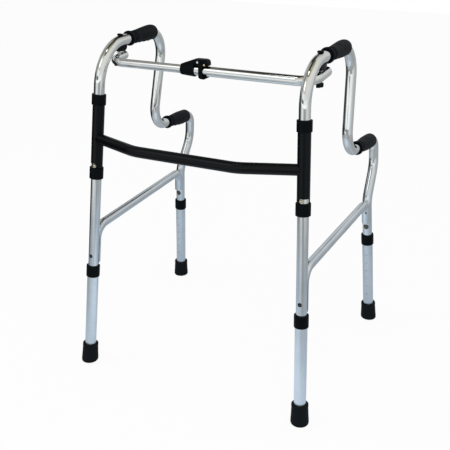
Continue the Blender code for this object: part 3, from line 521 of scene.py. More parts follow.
blackTube = finishOf("blackTube", skin(700.0, (0.0022, 0.0030, 0.0038), (0.02, 0.022, 0.024), 0.12, 0.16, 0.26),
                     0.10, 0.00006, 0.16)
blackPlastic = finishOf("blackPlastic", skin(1400.0, (0.0026, 0.0036, 0.0046), (0.016, 0.020, 0.024), 0.08,
                                             0.28, 0.42), 0.12, specular=0.05)
footRubber = finishOf("footRubber", skin(1100.0, (0.0060, 0.0075, 0.0092), (0.03, 0.03, 0.03), 0.18, 0.50, 0.72),
                      0.20, specular=0.06)
gripRubber = finishOf("gripRubber", skin(1700.0, (0.0038, 0.0058, 0.0078), (0.022, 0.030, 0.038), 0.14,
                                         0.42, 0.60), 0.18, specular=0.08)
greyPlastic = finishOf("greyPlastic", skin(1200.0, (0.50, 0.51, 0.52), (0.6, 0.6, 0.6), 0.2, 0.35, 0.5), 0.15)
print("finishes made")


# Side frames. A hole's ring and patch count the grid lines it takes up.
tubeDetail = {"columns": 64, "straightStep": 0.012,
              "frontHole": (0.0050, 3, 6), "rearHole": (0.0073, 3, 6), "foldHole": (0.0038, 2, 5)}


# Centre line of a side frame: up the front leg, back along the top, down through the dip and out to
# the lower grip, and over the knee and the kink to the rear leg.
def sideLine(side):
    corners = np.stack([
        legPoint(True, walker["tubeEndZ"], side),
        legPoint(True, walker["topZ"], side),
        onSide(walker["topRearY"], walker["topZ"], side), onSide(*walker["dip"], side),
        onSide(*walker["lowRear"], side), onSide(*walker["knee"], side), legPoint(False, walker["kinkZ"], side),
        legPoint(False, walker["tubeEndZ"], side)])
    return filletPath(corners, walker["bends"])


# Outward normal of a side frame's plane: the cross product of two of its directions.
def planeNormal(side):
    start, back, up = onSide(0.0, 0.0, side), onSide(1.0, 0.0, side), onSide(0.0, 1.0, side)
    made = unit(np.cross(back - start, up - start))
    return made * np.sign(made[0]) * side


# Side tube: the round wall carried along its line, with three button holes.
def makeSideTube(word, side):
    path, across = lines[side], normals[side]
    holes = []
    for front, z, degrees, sort in ((True, "buttonZ", 0.0, "frontHole"), (False, "buttonZ", 0.0, "rearHole"),
                                    (True, "foldZ", walker["foldAngle"], "foldHole")):
        origin, out = outOfLeg(front, walker[z], side, degrees)
        at = nearestRun(path, origin)
        radius, ring, patch = tubeDetail[sort]
        holes.append({"at": at, "angle": angleOf(path, across, at, out), "radius": radius, "ring": ring,
                      "patch": patch})
    first = holes[0]["angle"]
    for hole in holes:  # keep the turns of neighbouring holes within half a round of each other
        hole["angle"] = (hole["angle"] - first + math.pi) % (2 * math.pi) - math.pi + first
    stations = stationsOf(path, tubeDetail["straightStep"])
    piece = piercedTube(word + "SideTube", path, across, 0.0, runOf(path)[-1], walker["tubeRadius"],
                        walker["tubeWall"], holes, tubeDetail["columns"], stations)
    settle(piece, word + "_frame", [word + "_side_tube"], polished)


lines = {side: sideLine(side) for word, side in sides}
normals = {side: planeNormal(side) for word, side in sides}
for word, side in sides:
    makeSideTube(word, side)
print("side tubes made")


# Braces between the legs, pressed against them at both ends
braceDetail = {"z": 0.3740, "offset": 0.0115, "frontEnd": 0.2810, "rearEnd": 0.3150,
               "bends": (0.0360, 0.0300), "radius": 0.0111, "wall": 0.0012, "columns": 56,
               "rivet": (0.1940, 0.3565), "rivetHead": 0.0029, "rivetRise": 0.0010, "rivetSink": 0.0020}


# Points nearer a leg's axis than clear move straight out to it: the tube's end is pressed round the
# leg.
def pushedOff(grid, front, side, clear):
    origin, axis = legPoint(front, 0.0, side), legAxis(front, side)
    offset = grid - origin
    radial = offset - (offset @ axis)[..., None] * axis
    distance = np.linalg.norm(radial, axis=-1, keepdims=True)
    return grid + np.where(distance < clear, radial / np.maximum(distance, 1e-9) * (clear - distance), 0.0)


# Brace: a tube along a line with two bends, its ends clear of the legs.
def makeBrace(word, side):
    offset, heights = braceDetail["offset"], [braceDetail[label] for label in ("frontEnd", "z", "z", "rearEnd")]
    y = [legPoint(front, z, side)[1] + (offset if front else -offset)
         for front, z in zip((True, True, False, False), heights)]
    path = filletPath(onSide(y, heights, side), braceDetail["bends"], 20)
    outer, wall = braceDetail["radius"], braceDetail["wall"]
    along, radius = tubeLoop(0.0, runOf(path)[-1], outer, outer - wall, stationsOf(path, 0.003))
    grid = carried(path, normals[side], along, radius, turnOf(braceDetail["columns"]))
    clear = walker["tubeRadius"] + walker["gap"] + np.where(radius < outer - wall / 2, wall, 0.0)
    for front in (True, False):
        grid = pushedOff(grid, front, side, clear[:, None, None])
    piece = surface(word + "Brace", grid, True, None, (along, 2 * np.pi * outer))
    settle(piece, word + "_frame", [word + "_brace"], braceMetal)


# The rivet head by a brace's rear end, turned about the side frame's normal.
def makeBraceRivet(word, side):
    head, high = braceDetail["rivetHead"], braceDetail["radius"]
    foot, top = high - braceDetail["rivetSink"], high + braceDetail["rivetRise"]
    profile = softened([(foot, 0.0), (foot, head), (high + 0.0001, head), (top - 0.0001, head * 0.6), (top, 0.0)],
                       [0, 0.0001, 0.0003, 0.0006, 0], 6)
    origin = onSide(*braceDetail["rivet"], side)
    piece = turned(word + "BraceRivet", origin, normals[side], profile, 32, near=zAxis)
    # The rivet's near-black finish is partly painted shadow: it stands for the shade at the brace's pressed end
    # as well as the rivet head
    settle(piece, word + "_frame", [], paintedShadeSteel)


for word, side in sides:
    makeBrace(word, side)
    makeBraceRivet(word, side)
print("braces made")


# Cross brace and hinge sleeves
crossDetail = {"z": 0.6040012, "bow": 0.0493, "cornerX": 0.1280, "bend": 0.0900, "radius": 0.0127,
               "wall": 0.0012, "columns": 64}
sleeveDetail = {"low": 0.5090, "high": 0.7050, "wall": 0.0012, "slotHalf": 0.0050, "slotFrom": -28.0,
                "slotTo": 102.0, "ring": 3, "patch": 6, "columns": 72}


# Each line along the tube ends on the sleeve's surface: its run grows or shrinks by the fish-mouth
# depth.
def makeCrossBrace():
    corner, z = crossDetail["cornerX"], crossDetail["z"]
    left, right = (legPoint(True, z, side) for side in (-1, 1))
    y = left[1] - crossDetail["bow"]
    path = filletPath([left, (-corner, y, z), (corner, y, z), right], [crossDetail["bend"]] * 2, 30)
    whole, outer = runOf(path)[-1], crossDetail["radius"]
    along, radius = tubeLoop(0.0, whole, outer, outer - crossDetail["wall"], stationsOf(path, 0.010))
    angle = turnOf(crossDetail["columns"])
    sleeve = walker["sleeveRadius"] + walker["gap"]
    depth = np.sqrt(np.maximum(sleeve ** 2 - (radius[:, None] * np.sin(angle)) ** 2, 0.0))
    run = depth + along[:, None] / whole * (whole - 2 * depth)
    grid = carried(path, zAxis, run, np.repeat(radius[:, None], len(angle), 1), angle)
    piece = surface("crossBrace", grid, True, None, (along, 2 * np.pi * outer))
    settle(piece, "h_frame", ["cross_brace"], blackTube)


# Sleeve: a straight tube on the front leg with one long slot for the fold button.
def makeSleeve(word, side):
    low, axis, length = legSpan(True, (sleeveDetail["low"], sleeveDetail["high"]), side)
    path = low + np.linspace(0, length, 3)[:, None] * axis
    right, back = squareTo(axis)
    columns, slotHalf = sleeveDetail["columns"], sleeveDetail["slotHalf"]
    out = outward(right, back, side, (sleeveDetail["slotFrom"] + sleeveDetail["slotTo"]) / 2)
    at = nearestRun(path, legPoint(True, walker["foldZ"], side))
    reach = math.radians(sleeveDetail["slotTo"] - sleeveDetail["slotFrom"]) / 2
    longHalf = (reach - slotHalf / walker["sleeveRadius"]) / (2 * math.pi / columns)
    hole = {"at": at, "angle": angleOf(path, right, at, out), "radius": slotHalf, "ring": sleeveDetail["ring"],
            "patch": sleeveDetail["patch"], "long": round(longHalf)}
    piece = piercedTube(word + "HingeSleeve", path, right, 0.0, length, walker["sleeveRadius"],
                        sleeveDetail["wall"], [hole], columns, np.arange(0.004, length, 0.004))
    settle(piece, "h_frame", [word + "_hinge_sleeve"], blackTube)


makeCrossBrace()
for word, side in sides:
    makeSleeve(word, side)
print("cross brace and sleeves made")


# Bushes and collars: the heights they span, the wall, the lip, which end has the lip, and the rounding
ringDetail = {"Lower": ((0.5050, 0.5332), 0.00245, 0.0035, True, 0.0014),
              "Upper": ((0.6840, 0.7090), 0.00245, 0.0035, False, 0.0014),
              "Collar": ((0.2456, 0.2757), 0.0026, 0.0040, False, 0.0018), "run": 0.0002, "columns": 64}


# Turned ring: outside, a rounded top and bottom, the wide bore over the sleeve and the narrow lip.
def makeRing(name, body, solid, sort, front, side):
    heights, wall, lip, lipLow, fillet = ringDetail[sort]
    low, axis, height = legSpan(front, heights, side)
    outer, over = walker["sleeveRadius"] + wall, walker["sleeveRadius"] + walker["gap"]
    bore = walker["tubeRadius"] + ringDetail["run"]
    inside = [(height, over), (lip, over), (lip, bore), (0.0, bore)]
    if not lipLow:
        inside = [(height, bore), (height - lip, bore), (height - lip, over), (0.0, over)]
    profile = softened([(0.0, outer), (height, outer)] + inside,
                       [fillet, fillet, 0.0004, 0.0002, 0.0002, 0.0004], 6, True)
    piece = turned(name, low, axis, profile, ringDetail["columns"], ring=True)
    settle(piece, body, [solid], blackPlastic)


# Leg tubes, with their row of button holes
legDetail = {"top": 0.2711, "floor": 0.0123, "wall": 0.0012, "columns": 64, "holeFirst": 0.0885,
             "holePitch": 0.0254, "holes": 6, "holeRadius": 0.0033, "ring": 2, "patch": 4}


# Leg tube: a straight tube on the leg's axis, its holes facing inwards along the side frame.
def makeLegTube(word, label, front, side):
    axis, base = legAxis(front, side), legPoint(front, 0.0, side)
    end = legDetail["top"] / axis[2]
    path = base + np.array([0.0, 0.15, 0.30])[:, None] * axis
    right, back = squareTo(axis)
    turn = angleOf(path, right, 0.1, back if front else -back)
    holes = [{"at": (legDetail["holeFirst"] + legDetail["holePitch"] * k) / axis[2], "angle": turn,
              "radius": legDetail["holeRadius"], "ring": legDetail["ring"], "patch": legDetail["patch"]}
             for k in range(legDetail["holes"])]
    piece = piercedTube(word + label.title() + "LegTube", path, right, legDetail["floor"], end,
                        walker["sleeveRadius"], legDetail["wall"], holes, legDetail["columns"],
                        np.arange(0.02, end, 0.008))
    settle(piece, word + "_" + label + "_leg", [word + "_" + label + "_leg_tube"], satin)


footDetail = {"topRadius": 0.0200, "baseRadius": 0.0215, "top": 0.0510, "floor": 0.0120, "level": 0.0240,
              "grooves": (0.0040, 0.0095, 0.0150), "columns": 64}


# Turned tip whose lowest rings are turned level, so that it stands flat: each ring's plane tilts from
# the floor to square with the leg over the first part of its height.
def makeFoot(word, label, front, side):
    axis, base = legAxis(front, side), legPoint(front, 0.0, side)
    high, inner, floor = footDetail["top"] / axis[2], walker["sleeveRadius"] + walker["gap"], footDetail["floor"]
    top, low = footDetail["topRadius"], footDetail["baseRadius"]
    corners = [(0.0, 0.0), (0.0, low - 0.0010), (0.0030, low + 0.0002), (0.0110, low), (0.0200, low - 0.0007),
               (0.0380, top + 0.0001), (0.0400, top - 0.0004), (0.0425, top - 0.0004), (0.0440, top + 0.0002),
               (high, top + 0.0001), (high, inner), (floor, inner), (floor, 0.0)]
    fillets = [0, 0.0022, 0.0012, 0.002, 0.003, 0.0004, 0.0005, 0.0005, 0.0004, 0.0014, 0.0009, 0.0008, 0]
    outside = softened(corners, fillets, 6)
    grooves = [(deep, start + out) for start in footDetail["grooves"]
               for deep, out in ((0.0, 0.0), (0.0008, 0.0005), (0.0008, 0.0020), (0.0, 0.0025))]
    profile = np.concatenate([[(0.0, 0.0)], grooves, outside[1:]])
    along, radius = profile[:, 0], profile[:, 1]
    tilt = np.clip(along / footDetail["level"], 0, 1)[:, None]
    right, back = squareTo(axis)
    rightRing = unit((1 - tilt) * xAxis + tilt * right)[:, None]
    backRing = unit((1 - tilt) * yAxis + tilt * back)[:, None]
    angle = turnOf(footDetail["columns"])[None, :, None]
    centre = base + along[:, None] * axis
    grid = centre[:, None] + radius[:, None, None] * (np.cos(angle) * rightRing + np.sin(angle) * backRing)
    piece = surface(word + label.title() + "Foot", grid, False, None, (along + radius, 2 * np.pi * low))
    name = word + "_" + label
    settle(piece, name + "_leg", [name + "_rubber_foot"], footRubber, 40)


legs = (("front", True), ("rear", False))
for word, side in sides:
    for sort in ("Lower", "Upper"):
        makeRing(word + sort + "Bush", "h_frame", word + "_" + sort.lower() + "_bush", sort, True, side)
    for label, front in legs:
        leg = word + "_" + label + "_leg"
        makeRing(word + label.title() + "Collar", leg, leg + "_collar", "Collar", front, side)
    for label, front in legs:
        makeLegTube(word, label, front, side)
        makeFoot(word, label, front, side)
print("legs made")


# Grips
gripDetail = {
    "upper": {"y": -0.0720, "above": 0.7, "length": 0.1185, "ribs": 4, "front": 0.0179, "neck": 0.0154,
              "rear": 0.0184, "swell": 0.54},
    "lower": {"y": 0.1370, "above": 0.5, "length": 0.1185, "ribs": 3, "front": 0.0177, "neck": 0.0152,
              "rear": 0.0187, "swell": 0.42},
    "ribDepth": 0.0013, "ribPitch": 0.0047, "flange": 0.0062, "bore": 0.0130, "columns": 72, "fingers": 0.0011,
    "frontNose": 0.0024, "rearNose": 0.0058,
}


# r(s) = a neck that widens slowly to the rear (smooth step) + a flange at the front - ribs beside it (raised
# cosine), both ends rounded by quarter circles, and finger waves on the underside only.
def makeGrip(word, side, which):
    detail, path, across = gripDetail[which], lines[side], normals[side]
    start, length = runAtY(path, detail["y"], detail["above"]), detail["length"]
    s = np.linspace(0, length, 190)
    flange, pitch, rear = gripDetail["flange"], gripDetail["ribPitch"], gripDetail["rearNose"]
    widening = smoothStep(s, detail["swell"] * length, 0.60 * length)
    body = detail["neck"] + (detail["rear"] - detail["neck"]) * widening
    first = flange + 0.0016
    ribZone = smoothStep(s, first, 0.001) * (1 - smoothStep(s, first + detail["ribs"] * pitch, 0.002))
    ribs = gripDetail["ribDepth"] * ribZone * (0.5 + 0.5 * np.cos(2 * np.pi * (s - first) / pitch))
    outer = body + (detail["front"] - body) * (1 - smoothStep(s, flange, 0.0022)) - ribs
    outer -= noseDrop(gripDetail["frontNose"], gripDetail["frontNose"] - s)
    outer -= noseDrop(rear, s - length + rear) * 0.7
    bore = s[::-1][::6]
    along = np.concatenate([s, bore]) + start
    angle = turnOf(gripDetail["columns"])
    up = alongPath(path, along, across)[1]
    below = np.clip(-(np.sin(angle)[None] * up[:, 2:3] + np.cos(angle)[None] * across[2]), 0, 1) ** 2
    wave = gripDetail["fingers"] * np.sin(2 * np.pi * (s - 0.022) / ((length - 0.036) / 4))
    wave *= smoothStep(s, 0.028, 0.01) * (1 - smoothStep(s, length - 0.016, 0.008))
    radius = np.concatenate([outer, np.full(len(bore), gripDetail["bore"])])
    radius = np.repeat(radius[:, None], len(angle), 1)
    radius[:len(s)] += wave[:, None] * below[:len(s)]
    grid = carried(path, across, along, radius, angle)
    piece = surface(word + which.title() + "Grip", grid, True, None, (along, 2 * np.pi * detail["neck"]))
    settle(piece, word + "_frame", [word + "_" + which + "_grip"], gripRubber, 45)


for word, side in sides:
    for which in ("upper", "lower"):
        makeGrip(word, side, which)
print("grips made")


# Snap buttons and fold buttons: radius, flange over it, seat from the leg's axis, and top
buttonDetail = {
    "front": (0.0030, 0.0026, 0.0074, walker["tubeRadius"] + 0.0011),
    "rear": (0.0060, 0.0026, 0.0074, walker["tubeRadius"] + 0.0011),
    "fold": (0.0035, 0.0013, 0.0090, walker["sleeveRadius"] + 0.0009),
}


# Turned button: flange inside the tube, straight shank, and a dome or a flat face with a rounded
# edge.
def makeButton(name, body, solid, sort, place, finish):
    radius, flange, seat, top = buttonDetail[sort]
    flat, dome = (0.0004, 0.86, 0.0003, 0.0002), (0.0016, 0.45, 0.0009, 0.0008)
    drop, face, below, above = flat if sort == "rear" else dome
    wide, step = radius + flange, seat + 0.0008
    profile = softened([(seat, 0.0), (seat, wide), (step, wide), (step, radius), (top - drop, radius),
                        (top, radius * face), (top, 0.0)], [0, 0.0002, 0.0002, 0.0002, below, above, 0], 7)
    piece = turned(name, *place, profile, 40, near=zAxis)
    settle(piece, body, [solid], finish)


for word, side in sides:
    for label, front in legs:
        name = word + "_" + label
        # Front buttons take the near-black steel as painted shade of the holes round them; rear buttons take dark
        # spring steel
        makeButton(word + label.title() + "SnapButton", name + "_button", name + "_snap_button", label,
                   outOfLeg(front, walker["buttonZ"], side), paintedShadeSteel if front else darkSteel)
    makeButton(word + "FoldButton", word + "_fold_lock", word + "_fold_button", "fold",
               outOfLeg(True, walker["foldZ"], side, walker["foldAngle"]), brass)
print("buttons made")


# Top bar: the right half is the outer tube and the left half slides in it
barDetail = {
    "right": {"radius": 0.0111, "wall": 0.0010, "startX": -0.0497, "tipY": -0.0665, "part": "outer"},
    "left": {"radius": 0.0095, "wall": 0.0012, "startX": 0.0300, "tipY": -0.0880, "part": "inner"},
    "bend": 0.0380, "tilt": 0.06, "columns": 64,
}


# Height of the bar's end at y: it rises a little towards the rear.
def barHigh(y):
    return walker["barZ"] + barDetail["tilt"] * (y - walker["barY"])


# One half: along the bar, round one bend, and back beside the side tube.
def makeBarHalf(word, side):
    half = barDetail[word]
    across, part, outer = side * walker["sideOfBar"], half["part"], half["radius"]
    path = filletPath([(half["startX"], walker["barY"], walker["barZ"]), (across, walker["barY"], walker["barZ"]),
                       (across, half["tipY"], barHigh(half["tipY"]))], [barDetail["bend"]], 30)
    along, radius = tubeLoop(0.0, runOf(path)[-1], outer, outer - half["wall"], stationsOf(path, 0.010))
    grid = carried(path, zAxis, along, radius, turnOf(barDetail["columns"]))
    piece = surface("bar" + part.title() + "Half", grid, True, None, (along, 2 * np.pi * outer))
    settle(piece, "bar_" + part, ["bar_" + part + "_half"], polished)


# Turned plug: its shank in the tube and its low dome outside.
def makePlug(word, side):
    half = barDetail[word]
    outer = half["radius"]
    inside = outer - half["wall"] - walker["gap"]
    profile = softened([(-0.0080, 0.0), (-0.0080, inside), (0.0003, inside), (0.0003, outer),
                        (0.0024, outer * 0.93), (0.0048, outer * 0.55), (0.0050, 0.0)],
                       [0, 0.0005, 0.0001, 0.0004, 0.0014, 0.002, 0], 7)
    origin = np.array([side * walker["sideOfBar"], half["tipY"], barHigh(half["tipY"])])
    axis = unit(np.array([0.0, 1.0, barDetail["tilt"]]))
    piece = turned(word + "BarEndPlug", origin, axis, profile, 48, near=zAxis)
    settle(piece, "bar_" + half["part"], [word + "_bar_end_plug"], greyPlastic)


for make in (makeBarHalf, makePlug):
    make("right", 1)
    make("left", -1)
print("top bar made")


# Saddles, bolts, washers and knobs at the two bar pivots
pivotDetail = {"boltRadius": 0.0030, "headRadius": 0.0072, "headHigh": 0.0046, "headLift": 0.0008,
               "saddleHalf": 0.0085, "knobHigh": 0.0088, "knobDrop": 0.0014, "washerRadius": 0.0062,
               "washer": 0.0014, "rise": 0.0011, "openGap": 0.0024, "play": 0.0010,
               "wingHalf": 0.0048, "hub": 0.0074, "wing": 0.0150}


# Bar's centre at the bolt, the bolt's direction, and the two directions across it.
def pivotPlace(side):
    axis = legAxis(True, side)
    origin = np.array([side * walker["sideOfBar"], walker["boltY"], barHigh(walker["boltY"])])
    return origin, axis, *squareTo(axis)


# Outline in the side plane, its upper edge following the underside of the bending tube.
def makeSaddle(word, side):
    origin, axis, right, back = pivotPlace(side)
    low = barDetail[word]["radius"] + pivotDetail["rise"] + pivotDetail["washer"]
    low += walker["gap"] if side > 0 else pivotDetail["openGap"]
    under = walker["topZ"] - origin[2] - walker["tubeRadius"]
    corners = [(-0.0130, low), (0.0130, low), (0.0205, under - 0.0045), (0.0212, under + 0.0068),
               (-0.0212, under + 0.0048), (-0.0205, under - 0.0075)]
    outline = softened(corners, [0.0022, 0.0022, 0.003, 0.0015, 0.0015, 0.003], 6, True)
    piece = slab(word + "BarSaddle", outline, pivotDetail["saddleHalf"], (origin, back, axis, -right), 0.0016)
    grown = tubeCutter(word, side)
    cutOut(piece, grown)
    settle(piece, word + "_frame", [word + "_bar_saddle"], blackPlastic)
    bpy.data.objects.remove(grown)


# The stretch of the side tube over the saddle, a little larger, as a closed bar.
def tubeCutter(word, side):
    path, points = lines[side], 60
    at = nearestRun(path, np.array([side * 0.25, walker["boltY"], walker["topZ"]]))
    run = np.linspace(at - 0.07, at + 0.05, points)
    along = np.concatenate([run[:1], run, run[-1:]])
    radius = np.concatenate([[0.0], np.full(points, walker["tubeRadius"] + walker["gap"]), [0.0]])
    return surface(word + "Cutter", carried(path, normals[side], along, radius, turnOf(64)))


# Turned bolt, washer and stud on the pivot's axis, and a two-winged knob: the wings are a power curve
# (|cos a| / half)^5 + (|sin a| / wing)^5 = r^-5, joined softly to the round hub.
def makePivot(word, side):
    origin, axis, right, back = pivotPlace(side)
    barRadius, shank, head = barDetail[word]["radius"], pivotDetail["boltRadius"], pivotDetail["headRadius"]
    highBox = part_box(word + "_pivot_bolt")[1]
    headTop = (highBox[2] - origin[2]) / axis[2] + pivotDetail["headLift"]
    under = headTop - pivotDetail["headHigh"]
    low, wide = barRadius + pivotDetail["rise"], pivotDetail["washerRadius"]
    top, knobEnd = low + pivotDetail["washer"], -(barRadius + pivotDetail["knobDrop"] + pivotDetail["knobHigh"])
    end = knobEnd if side > 0 else top + pivotDetail["openGap"]
    profile = softened([(end, 0.0), (end, shank), (under, shank), (under, head), (headTop - 0.0012, head),
                        (headTop, head * 0.70), (headTop, 0.0)],
                       [0, 0.0003, 0.0001, 0.0002, 0.0008, 0.0009, 0], 7)
    piece = turned(word + "PivotBolt", origin, axis, profile, 40)
    settle(piece, word + "_frame", [word + "_pivot_bolt"], blackPlastic)
    if side > 0:
        bore = shank + pivotDetail["play"]
        profile = softened([(low, wide), (top, wide), (top, bore), (low, bore)], 0.0003, 5, True)
        piece = turned("rightPivotWasher", origin, axis, profile, 40, ring=True)
        settle(piece, "bar_washer", ["right_pivot_washer"], greyPlastic)
    else:
        profile = softened([(knobEnd, 0.0), (knobEnd, shank), (low, shank), (low, wide), (top, wide), (top, 0.0)],
                           [0, 0.0003, 0.0001, 0.0004, 0.0005, 0], 6)
        piece = turned("leftPivotStud", origin, axis, profile, 40)
        settle(piece, "bar_inner", ["left_pivot_stud"], steel)
    angle = turnOf(96)
    cos, sin = np.cos(angle), np.sin(angle)
    wing = ((np.abs(cos) / pivotDetail["wingHalf"]) ** 5 + (np.abs(sin) / pivotDetail["wing"]) ** 5) ** (-1 / 5)
    rim = (wing ** 10 + pivotDetail["hub"] ** 10) ** (1 / 10)
    middle = origin - axis * (barRadius + pivotDetail["knobDrop"] + pivotDetail["knobHigh"] / 2)
    piece = slab(word + "PivotKnob", np.stack([rim * cos, rim * sin], -1), pivotDetail["knobHigh"] / 2,
                 (middle, right, back, axis), 0.0014)
    body = "right_frame" if side > 0 else "bar_inner"
    settle(piece, body, [word + "_pivot_knob"], blackPlastic)


for word, side in sides:
    makeSaddle(word, side)
    makePivot(word, side)
print("bar pivots made")


# Latch, with its places measured from the bar's centre
latchDetail = {"leftX": -0.0576, "sleeveX": -0.0234, "rightX": 0.0113, "crest": 0.0262, "halfY": 0.0108,
               "radii": (0.0118, 0.0141), "edge": 0.0012, "pin": (-0.0114, 0.0205), "rivet": (0.0032, 0.0153),
               "pinRadius": 0.0016, "leverHalf": 0.0142, "leverInside": 0.0118, "columns": 72}
latchOrigin = np.array([0.0, walker["barY"], walker["barZ"]])


# Tapered round sleeve whose upper half swells into a fin: the ring at x is the larger of the sleeve's
# circle and a soft-cornered box, joined by a high power mean.
def makeLatchSleeve():
    left, sleeve, edge = latchDetail["leftX"], latchDetail["sleeveX"], latchDetail["edge"]
    columns, (narrow, broad) = latchDetail["columns"], latchDetail["radii"]
    angle = turnOf(columns)[None]
    x = np.concatenate([[left], left + edge * (1 - np.cos(np.linspace(0, np.pi / 2, 7)))[1:],
                        np.linspace(left + 0.002, sleeve - 0.001, 44), [sleeve - 0.0004, sleeve]])
    t = np.clip((x - left) / (sleeve - left), 0, 1)
    circle = narrow + (broad - narrow) * t ** 0.8 - 0.0010 * noseDrop(1.0, (left + edge - x) / edge)
    crest = np.interp(x, [left, left + 0.004, left + 0.008, -0.0270, sleeve],
                      [0.0122, 0.0138, 0.0156, 0.0240, 0.0254])
    width = np.interp(x, [left, left + 0.008, sleeve], [0.0060, 0.0088, latchDetail["halfY"]])
    circle, crest, width = circle[:, None], crest[:, None], width[:, None]
    box = ((np.abs(np.cos(angle)) / width) ** 5 + (np.abs(np.sin(angle)) / crest) ** 5) ** -0.2
    upper = np.where(np.sin(angle) > 0, (box ** 12 + circle ** 12) ** (1 / 12), circle)
    outer = circle + (upper - circle) * np.clip(np.sin(angle) * 6, 0, 1)
    inner, wide = (barDetail[word]["radius"] + walker["gap"] for word in ("left", "right"))
    step = barDetail["right"]["startX"] - walker["gap"]
    backX = [sleeve, sleeve - 0.0003, step, step, left + 0.0004, left]
    backR = np.array([wide + 0.0003, wide, wide, inner, inner, inner + 0.0004])
    along = np.concatenate([x, backX])
    ring = np.concatenate([outer, np.repeat(backR[:, None], columns, 1)])[..., None]
    angle = angle[..., None]
    grid = latchOrigin + along[:, None, None] * xAxis + ring * (np.sin(angle) * zAxis - np.cos(angle) * yAxis)
    piece = surface("latchSleeve", grid[:, ::-1], True, None, (along, 0.08))
    settle(piece, "bar_outer", ["latch_body"], blackPlastic, 40)


# The fin that runs on from the sleeve over the bar and holds the pin and the rivet: a side outline
# with thickness across the bar.
def makeLatchFin():
    crest = latchDetail["crest"]
    corners = [(-0.0240, 0.0140), (-0.0240, 0.0250), (-0.0190, crest), (0.0040, crest + 0.0002),
               (0.0095, 0.0240), (latchDetail["rightX"], 0.0176), (0.0105, 0.0118), (-0.0010, 0.0117)]
    fillets = [0.0015, 0.0020, 0.0025, 0.0025, 0.0028, 0.0028, 0.0015, 0.0005]
    outline = softened(corners[::-1], fillets[::-1], 7, True)
    piece = slab("latchFin", outline, latchDetail["halfY"] - 0.0002, (latchOrigin, xAxis, zAxis, -yAxis), 0.0022)
    settle(piece, "bar_outer", [], blackPlastic, 40)


# Side outline of the hook swept across the bar, with the channel for the bar cut by a half-round box.
def makeLever():
    pinX, pinZ = latchDetail["pin"]
    corners = [(-0.0046, 0.0010), (-0.0030, 0.0040), (0.0018, 0.0046), (0.0056, 0.0026), (0.0106, -0.0060),
               (0.0106, -0.0318), (0.0162, -0.0344), (0.0156, -0.0366), (0.0060, -0.0362), (0.0012, -0.0332),
               (0.0008, -0.0070), (-0.0042, -0.0028)]
    outline = softened(corners[::-1], 0.0011, 5, True)
    piece = slab("latchLever", outline, latchDetail["leverHalf"],
                 (latchOrigin + pinX * xAxis + pinZ * zAxis, xAxis, zAxis, -yAxis), 0.0018)
    half = latchDetail["leverInside"]
    turn = np.linspace(np.pi, 2 * np.pi, 33)
    hollow = half * np.stack([np.cos(turn), np.sin(turn)], -1)
    channel = np.concatenate([hollow, [(half, 0.04), (-half, 0.04)]])
    middle = latchOrigin + (pinX + 0.006) * xAxis
    cutter = slab("leverChannel", channel[::-1], 0.03, (middle, yAxis, zAxis, xAxis), 0.0001)
    cutOut(piece, cutter)
    settle(piece, "latch_trigger", ["latch_lever"], blackPlastic, 40)
    bpy.data.objects.remove(cutter)


# Turned pin across the latch, with a low head at each end.
def makePin(name, solid, place, reach, head, finish):
    x, high = place
    radius, neck, tip = latchDetail["pinRadius"], reach + 0.0003, reach + 0.0009
    profile = softened([(-tip, 0.0), (-tip, head * 0.7), (-neck, head), (-neck, radius),
                        (neck, radius), (neck, head), (tip, head * 0.7), (tip, 0.0)],
                       [0, 0.0004, 0.0001, 0.0001, 0.0001, 0.0001, 0.0004, 0], 6)
    piece = turned(name, latchOrigin + x * xAxis + high * zAxis, -yAxis, profile, 32, near=zAxis)
    settle(piece, "bar_outer", [solid], finish)


makeLatchSleeve()
makeLatchFin()
makeLever()
makePin("latchPin", "latch_pin", latchDetail["pin"], latchDetail["leverHalf"], 0.0026, steel)
makePin("latchRivet", "latch_rivet", latchDetail["rivet"], latchDetail["halfY"], 0.0024, brass)
print("latch made")


# Solids that stay get a finish of their own
stays = {"leaf_spring": darkSteel, "fold_spring": darkSteel, "stop_plug": blackPlastic}
for name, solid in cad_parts.items():
    if solid.hide_render:
        continue
    found = [finish for part, finish in stays.items() if part in name]
    solid.data.materials.clear()
    solid.data.materials.append(found[0] if found else blackPlastic)
    print("kept", name)


# Floor, light and camera: the camera at the photograph's place, 25.7 degrees to the right of the front
# and 24.0 degrees up
studio = {"floorSize": 14.0, "floorWhite": 0.95, "shadowShare": 0.08, "worldForLight": 0.85,
          "bearing": 0.44885709, "rise": 0.41921607, "camera": (0.72647, -1.56169, 1.11003),
          "sensor": 36.0, "focalPixels": 717.6, "pictureWidth": 450.0, "nearest": 0.05, "farthest": 50.0,
          "cardDrop": 0.0001}


# Mixes lit with seen for rays from the camera, from gloss and through glass.
def whiteWhenSeen(tree, lit, seen, low):
    rays = node(tree, "LightPath").outputs
    most = rays["Is Camera Ray"]
    for label in ("Is Glossy Ray", "Is Transmission Ray"):
        most = maths(tree, "MAXIMUM", most, rays[label])
    share = maths(tree, "MULTIPLY", most, 1.0 - low)
    return node(tree, "MixShader", {0: share, 1: lit.outputs[0], 2: seen.outputs[0]}).outputs[0]


# Empty shader tree of a new material.
def bareMaterial(name):
    made = bpy.data.materials.new(name)
    made.use_nodes = True
    made.node_tree.nodes.clear()
    return made, made.node_tree


# Large matt floor just under the feet.
def makeFloor():
    half, z = studio["floorSize"] / 2, -0.0002
    mesh = bpy.data.meshes.new("studioFloor")
    mesh.from_pydata([(-half, -half, z), (half, -half, z), (half, half, z), (-half, half, z)], [], [(0, 1, 2, 3)])
    floor = linked("studioFloor", mesh)
    made, tree = bareMaterial("paperFloor")
    matt = node(tree, "BsdfDiffuse", {"Color": (studio["floorWhite"],) * 3 + (1.0,)})
    glow = node(tree, "Emission", {"Strength": 1.0})
    node(tree, "OutputMaterial", {"Surface": whiteWhenSeen(tree, matt, glow, studio["shadowShare"])})
    mesh.materials.append(made)


